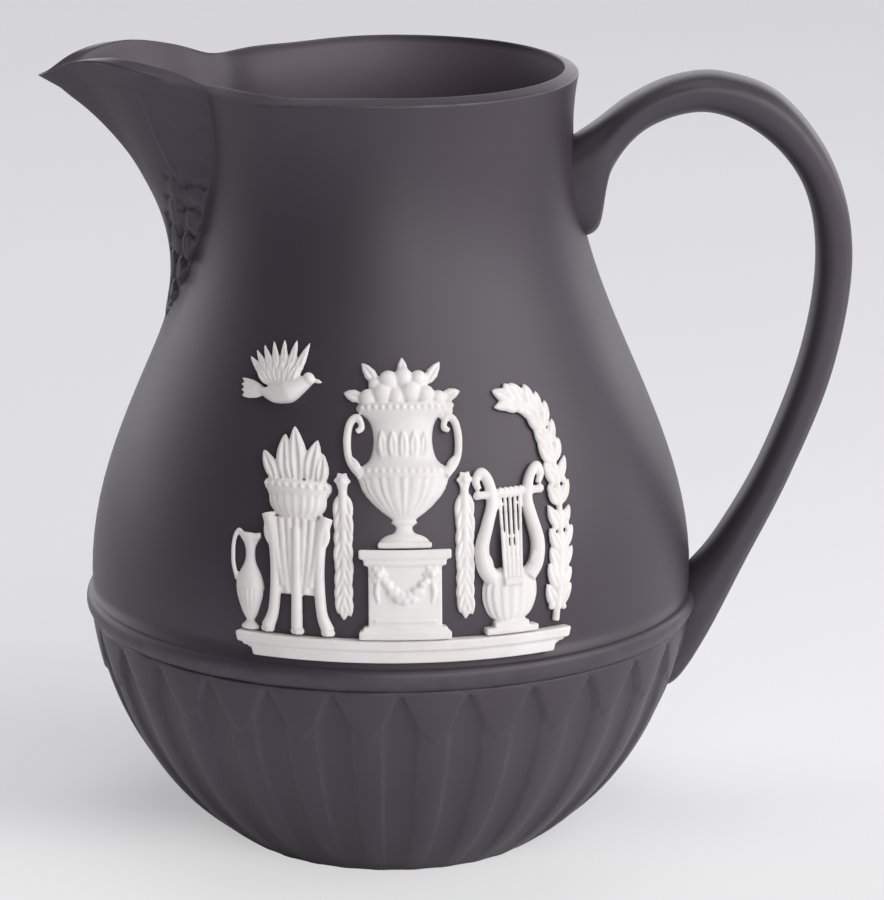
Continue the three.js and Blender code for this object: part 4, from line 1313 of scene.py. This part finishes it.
@dataclass
class Tripod(PressedPiece):
    """The three-legged brazier, with a cloth hung between its legs."""

    at: float = -21.1
    height: float = 29.0
    feet: float = 6.1
    bowl: float = 6.3

    def forms(self) -> list[Object]:
        """Draws legs, paws, cloth, bowl and flames."""
        x, z, h = self.at, FLOOR_LINE, self.height
        forms = []
        for side in (-1, 1):
            forms.append(Bench.strand([
                (x + side * self.feet, z + h * 0.04), (x + side * self.feet * 0.8, z + h * 0.16),
                (x + side * self.feet * 0.72, z + h * 0.4), (x + side * self.feet * 0.78, z + h * 0.62),
                (x + side * self.feet * 0.98, z + h * 0.78),
            ], [1.35, 1.1, 1.1, 1.2, 1.35], 0.9))
            forms.append(Bench.leaf(x + side * self.feet * 0.8, z + h * 0.56, 90 - side * 12, 6, 2.6, 0.9, 1.2))
        forms.append(Bench.strand([(x, z + h * 0.05), (x, z + h * 0.7)], [1.15, 0.95], 1.3))
        for side in (-1, 0, 1):
            for toe in (-0.7, 0, 0.7):
                forms.append(Bench.knob(x + side * self.feet + toe, z + 0.75, 0.72, 1.0 + 0.3 * (toe == 0)))
        for fold in np.linspace(-0.85, 0.85, 7):
            low = z + h * (0.26 + 0.07 * abs(math.sin(fold * 6)))
            forms.append(Bench.strand([
                (x + fold * self.feet * 0.5, low), (x + fold * self.feet * 0.72, z + h * 0.5),
                (x + fold * self.feet * 0.92, z + h * 0.76),
            ], [0.7, 0.78, 0.66], 1.2))
        forms.append(Bench.block((x - self.feet * 0.8, z + h * 0.27), (x + self.feet * 0.8, z + h * 0.76), 1.2, 0.2))
        r = self.bowl
        profile = [(r * 0.3, z + h * 0.735), (r * 0.62, z + h * 0.76), (r * 0.94, z + h * 0.83), (r, z + h * 0.9),
                   (r * 1.02, z + h * 0.925), (r * 1.1, z + h * 0.945), (r * 1.1, z + h * 0.985), (r, z + h)]
        forms.append(Bench.turned(x, profile, 0.42, 22, (z + h * 0.75, z + h * 0.91), 0.13))
        for share in np.linspace(-0.9, 0.9, 9):
            forms.append(Bench.knob(x + share * r * 1.08, z + h * 0.965, 0.45, 2.9 * math.sqrt(1 - share**2 * 0.9)))
        top = z + h
        for dx, turn, length, width, bend in (
            (-4.4, 106, 6.2, 3.2, 0.9), (-2.2, 97, 9.0, 3.8, -1.0), (0.3, 88, 10.6, 4.2, 1.0),
            (2.5, 83, 8.6, 3.8, -0.9), (4.5, 73, 6.0, 3.0, 0.8), (-0.8, 94, 7.0, 3.0, 0.6),
        ):
            forms.append(Bench.leaf(x + dx, top - 0.6, turn, length, width, 1.5, 0.5, curl=bend))
        return forms


@dataclass
class Lyre(PressedPiece):
    """The lyre, with a ribbed sound box, scrolled arms and five strings."""

    at: float = 21.1
    height: float = 31.0
    half: float = 6.0

    def forms(self) -> list[Object]:
        """Draws foot, box, arms, bar and strings."""
        x, z, h, w = self.at, FLOOR_LINE, self.height, self.half
        forms = [
            Bench.block((x - w * 0.9, z), (x + w * 0.9, z + 1.3), 2.2, 0.25),
            Bench.block((x - w * 0.6, z + 1.1), (x + w * 0.6, z + 2.3), 1.8, 0.3),
            Bench.turned(x, [
                (w * 0.3, z + 2), (w * 0.72, z + 3.2), (w * 0.96, z + 6), (w, z + 8.6),
                (w * 0.86, z + 11), (w * 0.5, z + 12.4), (w * 0.1, z + 12.8),
            ], 0.44, 18, (z + 2.6, z + 11.8), 0.12),
        ]
        for side in (-1, 1):
            forms.append(Bench.strand([
                (x + side * w * 0.6, z + h * 0.34), (x + side * w * 0.9, z + h * 0.42),
                (x + side * w * 0.98, z + h * 0.54), (x + side * w * 0.78, z + h * 0.68),
                (x + side * w * 0.62, z + h * 0.8), (x + side * w * 0.72, z + h * 0.92),
                (x + side * w * 0.98, z + h * 0.985), (x + side * w * 1.16, z + h * 0.94),
                (x + side * w * 1.06, z + h * 0.885),
            ], [1.7, 1.6, 1.45, 1.3, 1.2, 1.1, 1.0, 0.85, 0.6], 0.9))
            forms.append(Bench.leaf(x + side * w * 0.7, z + h * 0.36, 90 - side * 22, 6.4, 2.8, 0.8, 1.5))
            forms.append(Bench.knob(x + side * w * 1.12, z + h * 0.85, 0.85, 1.0))
        forms.append(Bench.strand([(x - w * 1.14, z + h * 0.85), (x + w * 1.14, z + h * 0.85)], [0.75, 0.75], 1.1))
        forms.append(Bench.block((x - w * 0.34, z + h * 0.3), (x + w * 0.34, z + h * 0.345), 3.0, 0.25))
        for share in np.linspace(-1, 1, 5):
            forms.append(Bench.strand([(x + share * w * 0.28, z + h * 0.33, 2.2), (x + share * w * 0.36, z + h * 0.87, 1.0)],
                                      [0.34, 0.34]))
            forms.append(Bench.knob(x + share * w * 0.36, z + h * 0.87, 0.55, 1.5))
        return forms


@dataclass
class Spray(PressedPiece):
    """A stem with leaves on both sides, and berries or a rose."""

    line: tuple[tuple[float, float], ...] = ((0.0, 0.0), (0.0, 1.0))
    leaves: int = 8
    length: float = 4.8
    width: float = 2.4
    splay: float = 34.0
    stem: float = 0.55
    rose: tuple[float, float] | None = None
    berries: bool = False

    def forms(self) -> list[Object]:
        """Draws the stem, its leaves, and what it bears."""
        forms = [Bench.strand(list(self.line), [self.stem, self.stem * 0.6], 0.6)]
        path = smooth_line(list(self.line), 200)
        way = np.gradient(path, axis=0)
        for i, share in enumerate(np.linspace(0.05, 0.94, self.leaves)):
            k = int(share * 199)
            heading = math.degrees(math.atan2(way[k, 1], way[k, 0]))
            for side in (-1, 1):
                length = self.length * (1 - 0.16 * share) * (0.94 + 0.06 * ((i + side) % 3))
                forms.append(Bench.leaf(path[k, 0], path[k, 1], heading + side * self.splay, length,
                                        self.width, 0.95, 0.35 + 0.15 * (i % 2), curl=-side * 0.35))
                if self.berries and i % 2 == 0:
                    turn = math.radians(heading + side * 74)
                    forms.append(Bench.knob(path[k, 0] + 1.5 * math.cos(turn), path[k, 1] + 1.5 * math.sin(turn),
                                            0.62, 0.8))
        end = path[193]
        heading = math.degrees(math.atan2(way[193, 1], way[193, 0]))
        forms.append(Bench.leaf(end[0], end[1], heading, self.length * 0.9, self.width, 0.95, 0.4))
        if self.rose:
            x, z = self.rose
            forms += [Bench.leaf(x, z, turn, 1.75, 1.5, 0.6, 0.9) for turn in range(0, 360, 60)]
            forms.append(Bench.knob(x, z, 0.75, 1.3))
        return forms


@dataclass
class Ewer(PressedPiece):
    """The small ewer at the end of the plinth."""

    at: float = -31.4
    height: float = 18.5
    half: float = 3.0

    def forms(self) -> list[Object]:
        """Draws the ewer and its looped handle."""
        x, z, h, w = self.at, FLOOR_LINE, self.height, self.half
        profile = [
            (w * 0.6, z), (w * 0.64, z + h * 0.03), (w * 0.4, z + h * 0.07), (w * 0.3, z + h * 0.1),
            (w * 0.6, z + h * 0.18), (w * 0.94, z + h * 0.34), (w, z + h * 0.46), (w * 0.8, z + h * 0.58),
            (w * 0.42, z + h * 0.7), (w * 0.34, z + h * 0.8), (w * 0.44, z + h * 0.88), (w * 0.8, z + h * 0.97),
            (w * 0.7, z + h),
        ]
        return [
            Bench.turned(x, profile, 0.72, 18, (z + h * 0.14, z + h * 0.42), 0.14),
            Bench.strand([
                (x - w * 0.86, z + h * 0.52), (x - w * 1.15, z + h * 0.68), (x - w * 1.1, z + h * 0.9),
                (x - w * 0.7, z + h * 1.01), (x - w * 0.3, z + h * 0.93),
            ], [0.5, 0.42, 0.42, 0.45, 0.5], 0.8),
            Bench.leaf(x + w * 0.3, z + h * 0.93, 38, 2.4, 1.3, 0.8, 0.7),
            Bench.strand([(x - w * 0.95, z + h * 0.5), (x, z + h * 0.5, 1.8), (x + w * 0.95, z + h * 0.5)],
                         [0.26, 0.26, 0.26], 0.6),
        ]


@dataclass
class Dove(PressedPiece):
    """The dove on the wing over the brazier."""

    at: float = -24.5
    height: float = 103.9
    length: float = 15.0

    def forms(self) -> list[Object]:
        """Draws body, head, wings and tail."""
        def spot(along: float, up: float) -> tuple[float, float]:
            return self.at + self.length * along, self.height + self.length * up

        forms = [Bench.strand([spot(-0.3, -0.03), spot(-0.1, -0.05), spot(0.12, 0.0), spot(0.3, 0.1), spot(0.42, 0.17)],
                              [0.5, 1.6, 2.1, 1.5, 1.0], 0.8)]
        forms.append(Bench.knob(*spot(0.42, 0.18), 1.2, 1.1))
        forms.append(Bench.leaf(*spot(0.47, 0.17), -10, self.length * 0.13, 0.9, 0.5, 0.8))
        for i, turn in enumerate((58, 70, 82, 94, 106, 118, 130)):
            start = spot(0.12 - 0.045 * i, 0.05)
            reach = self.length * (0.66 - 0.035 * i)
            forms.append(Bench.leaf(*start, turn, reach, 1.9, 0.9, 0.9 - 0.05 * i, curl=0.5))
            forms.append(Bench.leaf(*start, turn, reach * 0.55, 1.9, 1.0, 1.2, curl=0.3))
        for turn in (164, 174, 184, 194):
            forms.append(Bench.leaf(*spot(-0.2, -0.03), turn, self.length * 0.42, 1.7, 0.8, 0.5))
        return forms


Spot = tuple[float, float]


@dataclass
class SpoutLeaf:
    """The lobed leaf that clasps the throat, in the colour of the body.

    Places on it are given by the degrees from the middle of the spout and the height.
    """

    wall: Wall
    rows: int = 230
    columns: int = 150
    degrees_per_mm: float = 1.25
    ground: float = 0.42
    ground_top: float = 0.12
    sunk: float = 0.35
    back: float = 0.7
    border: tuple[Spot, ...] = (
        (0.8, 107), (5.6, 110), (10.8, 115), (15, 121), (18.2, 128), (20.2, 134),
        (21.8, 140), (23.2, 146), (24, 151), (24, 155), (21, 158),
    )
    lobes: tuple[tuple[Spot, float, float, float, float], ...] = (
        ((22, 157), -60, 6, 1.9, 0.6), ((17.6, 155), -80, 6, 2, 0.5), ((22, 151), -64, 6.5, 1.8, 0.7),
        ((18, 149.5), -84, 6, 2.2, 0.5), ((22, 145), -66, 6, 1.8, 0.8), ((18, 143.6), -80, 6.5, 2, 0.6),
        ((21, 139.5), -74, 6, 1.8, 0.9), ((17.6, 138.5), -86, 5.5, 2, 0.8), ((13.6, 139), -96, 5.6, 2, 0.6),
        ((19.6, 134.4), -76, 6.4, 1.7, 1.1), ((15.8, 133.6), -84, 5.6, 1.9, 1.0), ((11.6, 135), -92, 6, 1.9, 0.8),
        ((18, 129), -72, 6.4, 1.6, 1.2), ((14, 128.4), -80, 5.6, 1.7, 1.1), ((9.8, 129.5), -86, 6, 1.8, 0.9),
        ((5.6, 131.5), -92, 6.4, 1.7, 0.5), ((15.4, 123), -66, 6, 1.5, 1.2), ((11.6, 123), -76, 5.8, 1.6, 1.1),
        ((7.4, 124), -84, 5.8, 1.6, 0.8), ((3, 125.6), -90, 6, 1.4, 0.4), ((12.4, 117.4), -62, 5.6, 1.4, 1.1),
        ((8.2, 117.6), -72, 5.8, 1.5, 0.9), ((3.6, 118.6), -82, 6, 1.4, 0.5), ((7.8, 112.8), -60, 4.6, 1.2, 0.8),
        ((3, 112.8), -76, 4.8, 1.3, 0.5),
    )
    tongue: tuple[Spot, ...] = (
        (14.6, 157), (13.6, 152), (12.9, 147.2), (13.1, 143), (14.4, 138.8), (16, 136.5),
    )

    def relief(self, away: Array, height: Array) -> Array:
        """Gives how far the leaf stands off the wall.

        Args:
            away: degrees from the middle of the spout.
            height: heights above the base.

        Returns:
            The distance at each place.
        """
        x = away / self.degrees_per_mm
        top = np.zeros_like(x)
        pits = np.zeros_like(x)
        for (at, z), aim, length, half, depth in self.lobes:
            turn = math.radians(aim)
            dx, dz = x - at / self.degrees_per_mm, height - z
            along = (dx * math.cos(turn) + dz * math.sin(turn)) / length
            side = dx * -math.sin(turn) + dz * math.cos(turn)
            inside = np.clip(along, 0.001, 0.999)
            width = half * np.sin(math.pi * inside**0.8) ** 0.6
            round_top = np.clip(1 - (side / width) ** 2, 0, None) ** 0.6
            body = depth * round_top * (0.55 + 0.45 * inside) * ((along > 0) & (along < 1))
            body -= 0.16 * depth * np.exp(-((side / 0.28) ** 2)) * (body > 0)
            top = np.maximum(top, body)
            near = (along * length) ** 2 + (np.abs(side) - half * 0.9) ** 2
            pits += 0.75 * depth * np.exp(-near / 0.4) * (z < 142)
        line = np.interp(height, [z for _, z in self.tongue[::-1]], [at for at, _ in self.tongue[::-1]])
        plain = ease(height, 136, 144)
        top *= 1 - plain * (1 - 0.35 * (away > line))
        keel = ease(away, 2, 6)
        top *= keel
        pits *= keel
        top += 0.22 * ease(height, 136, 139) * bell(x - line / self.degrees_per_mm, 0, 0.32)
        ground = self.ground + (self.ground_top - self.ground) * plain
        return ground + top - np.minimum(pits, ground)

    def clasp(self, material: bpy.types.Material) -> None:
        """Lays the leaf on the throat.

        Args:
            material: its finish.
        """
        piece, row, column = spun_tube("throat_leaf", self.rows, self.columns * 2 - 2)
        line = smooth_line(list(self.border), self.rows)
        half, height = line[:, :1], line[:, 1:]
        front = np.linspace(-1, 1, self.columns)
        away = half * front
        level = np.broadcast_to(height, away.shape)
        rim = ease((1 - np.abs(front)) * half, 0, 1.1)
        rim = rim * ease(level, 107, 112) * (1 - ease(level, 155, 158))
        out = self.relief(np.abs(away), level) * rim - self.sunk * (1 - rim)
        out[[0, -1]] = -self.back
        degrees = np.hstack([away, away[:, -2:0:-1]])
        levels = np.broadcast_to(height, degrees.shape)
        deep = np.full((self.rows, self.columns - 2), -self.back)
        grid = self.wall.lay(SPOUT - degrees, levels, np.hstack([out, deep]))
        place(piece, grid[row, column] * MM)
        # The highest lobes are painted paler: partly rubbing, partly painted glints.
        rub_and_highlight = np.hstack([np.clip((out - 0.7) * 0.8, 0, 0.25), deep * 0])
        set_attribute(piece, "wear_and_highlight", rub_and_highlight[row, column])
        mend(piece, 2e-6)
        bpy.ops.object.shade_smooth()
        finish_piece(piece, "throat_leaf", material, ["spout_leaf"])


# The studio


@dataclass
class Studio:
    """The pale floor, the lamps and the camera."""

    distance: float = 1190.7
    elevation: float = 15.0
    target: float = 80.5
    lens: float = 232.0
    shift: float = 51.1 / 900
    # The floor's colour near the camera and at the back; the back is painted darker, as painted shade.
    near: str = "f6f5fa"
    far: str = "dddce1"
    lamps: tuple[tuple[str, float, float, float, float], ...] = (
        ("front", 12, 22, 0.8, 7.2),
        ("window", 45, 25, 0.8, 7.4),
        ("right", 75, 25, 0.8, 7.8),
        ("high", 55, 55, 0.8, 1.8),
        ("left", -110, 35, 0.7, 0.8),
        ("top", 0, 88, 0.8, 4.4),
    )
    lamp_distance: float = 1.6
    lamp_aim: float = 0.08
    seen: float = 0.85
    room: float = 0.06
    backdrop: float = 0.4
    backdrop_low: float = 2.0

    def camera(self) -> None:
        """Sets the camera where the photograph was taken from."""
        lift = math.radians(self.elevation)
        data = bpy.data.cameras.new("camera")
        data.sensor_width = 36
        data.lens = self.lens
        data.shift_x = self.shift
        data.clip_start = 0.05
        data.clip_end = 20
        camera = bpy.data.objects.new("camera", data)
        bpy.context.scene.collection.objects.link(camera)
        camera.location = (
            0,
            -self.distance * math.cos(lift) * MM,
            (self.target + self.distance * math.sin(lift)) * MM,
        )
        camera.rotation_euler = (math.radians(90) - lift, 0, 0)
        bpy.context.scene.camera = camera

    def lamp(self, name: str, azimuth: float, elevation: float, size: float, power: float) -> None:
        """Adds a soft square lamp that faces the jug.

        Args:
            name: its name.
            azimuth: degrees to the right of the camera.
            elevation: degrees above the table.
            size: its side, in metres.
            power: in watts.
        """
        data = bpy.data.lights.new(name, "AREA")
        data.shape = "SQUARE"
        data.size = size
        data.energy = power
        lamp = bpy.data.objects.new(name, data)
        bpy.context.scene.collection.objects.link(lamp)
        turn, lift = math.radians(azimuth), math.radians(elevation)
        lamp.location = (
            self.lamp_distance * math.sin(turn) * math.cos(lift),
            -self.lamp_distance * math.cos(turn) * math.cos(lift),
            self.lamp_aim + self.lamp_distance * math.sin(lift),
        )
        lamp.rotation_euler = (math.pi / 2 - lift, 0, turn)

    def light(self) -> None:
        """Sets the lamps, and the light of a pale backdrop from behind."""
        for lamp in self.lamps:
            self.lamp(*lamp)
        world = bpy.data.worlds.new("room")
        world.use_nodes = True
        nodes, links = world.node_tree.nodes, world.node_tree.links
        background = nodes["Background"]
        background.inputs["Color"].default_value = (0.95, 0.95, 0.97, 1)
        way = nodes.new("ShaderNodeTexCoord").outputs["Generated"]
        parts = nodes.new("ShaderNodeSeparateXYZ")
        links.new(way, parts.inputs["Vector"])
        low = nodes.new("ShaderNodeMapRange")
        links.new(parts.outputs["Z"], low.inputs["Value"])
        low.inputs["From Min"].default_value = 0.3
        low.inputs["From Max"].default_value = 0.5
        low.inputs["To Min"].default_value = self.backdrop + self.backdrop_low
        low.inputs["To Max"].default_value = self.backdrop
        behind = nodes.new("ShaderNodeMapRange")
        links.new(parts.outputs["Y"], behind.inputs["Value"])
        behind.inputs["From Max"].default_value = 0.6
        behind.inputs["To Min"].default_value = self.room
        links.new(low.outputs["Result"], behind.inputs["To Max"])
        seen = nodes.new("ShaderNodeMapRange")
        links.new(nodes.new("ShaderNodeLightPath").outputs["Is Camera Ray"], seen.inputs["Value"])
        links.new(behind.outputs["Result"], seen.inputs["To Min"])
        seen.inputs["To Max"].default_value = self.seen
        links.new(seen.outputs["Result"], background.inputs["Strength"])
        bpy.context.scene.world = world

    def floor(self) -> None:
        """Lays the floor. The camera sees a small part of its colour as a glow."""
        deselect()
        bpy.ops.mesh.primitive_plane_add(size=12)
        floor = bpy.context.object
        corners = places(floor)
        corners[:, 1] = np.maximum(corners[:, 1], -0.9)
        place(floor, corners)
        floor.name = "floor"
        t = NodeTree("pale_floor")
        parts = t.add("ShaderNodeSeparateXYZ")
        t.join(t.coords, parts.inputs["Vector"])
        # Painted shade: the floor's colour darkens towards the back.
        back = t.ramp(parts.outputs["Y"], 0.0, 0.95)
        shade = t.mix(back, colour(self.near), colour(self.far))
        t.join(shade, t.shader.inputs["Base Color"])
        t.shader.inputs["Roughness"].default_value = 0.6
        glow = t.add("ShaderNodeEmission")
        glow.inputs["Color"].default_value = (1, 1, 1, 1)
        seen = t.add("ShaderNodeLightPath").outputs["Is Camera Ray"]
        # Painted light: the glow is strongest in a strip at the front, as the lit floor in front of the jug's shadow,
        # and a little stronger at the back.
        front = t.ramp(parts.outputs["Y"], 0.02, -0.03, 0.46)
        rear = t.ramp(parts.outputs["Y"], 0.15, 0.7, 0.12)
        share = t.math("ADD", t.math("ADD", front, rear), 0.24)
        strength = t.math("ADD", t.ramp(parts.outputs["Y"], -0.03, 0.06, 0.14), 0.86)
        t.join(strength, glow.inputs["Strength"])
        share = t.math("MULTIPLY", seen, share)
        both = t.add("ShaderNodeMixShader")
        t.join(share, both.inputs["Fac"])
        t.join(t.shader.outputs["BSDF"], both.inputs[1])
        t.join(glow.outputs["Emission"], both.inputs[2])
        surface = t.tree.nodes["Material Output"].inputs["Surface"]
        t.join(both.outputs["Shader"], surface)
        floor.data.materials.append(t.material)

    def build(self) -> None:
        """Sets up the whole studio."""
        self.camera()
        self.light()
        self.floor()
        scene = bpy.context.scene
        scene.view_settings.view_transform = "Standard"


def white_pieces() -> list[PressedPiece]:
    """Lists the pressed pieces of one side.

    Returns:
        The pieces, from the plinth up.
    """
    branch, drop_top, drop_foot, drop_at = 32.2, 88.4, 64.6, 11.9
    pieces: list[PressedPiece] = [
        Plinth("plinth", voxel=0.22),
        Pedestal("pedestal"),
        Urn("urn"),
        Tripod("tripod"),
        Lyre("lyre"),
        Spray("laurel_branch", line=(
            (branch - 1.1, FLOOR_LINE + 0.9), (branch + 0.3, FLOOR_LINE + 14), (branch - 0.3, FLOOR_LINE + 29),
            (branch - 4.4, FLOOR_LINE + 40), (branch - 10.4, FLOOR_LINE + 43.6),
        ), leaves=14, length=5.6, width=2.5, stem=0.75, berries=True),
    ]
    for name, side in (("drop_left", -1), ("drop_right", 1)):
        at = side * drop_at
        pieces.append(Spray(name, line=((at, drop_top - 1), (at, (drop_top + drop_foot) / 2), (at, drop_foot + 2)),
                            leaves=8, length=5.6, width=2.4, splay=20, stem=0.9, rose=(at, drop_top)))
    return [*pieces, Ewer("ewer"), Dove("dove")]


def main() -> None:
    """Builds the studio and the jug."""
    logging.basicConfig(level=logging.INFO, format="%(name)s: %(message)s")
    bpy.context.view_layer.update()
    Studio().build()
    wall = Wall()
    black = BlackStoneware().make()
    white = WhiteStoneware().make()
    finish_piece(JugBody(wall).build(), "jug_shell", black, ["jug_body"])
    finish_piece(StrapHandle(wall).build(), "strap_handle", black, ["handle"])
    SpoutLeaf(wall).clasp(black)
    for piece in white_pieces():
        piece.press(wall, white)
    LOG.info("boxes written")


if __name__ == "__main__":
    main()
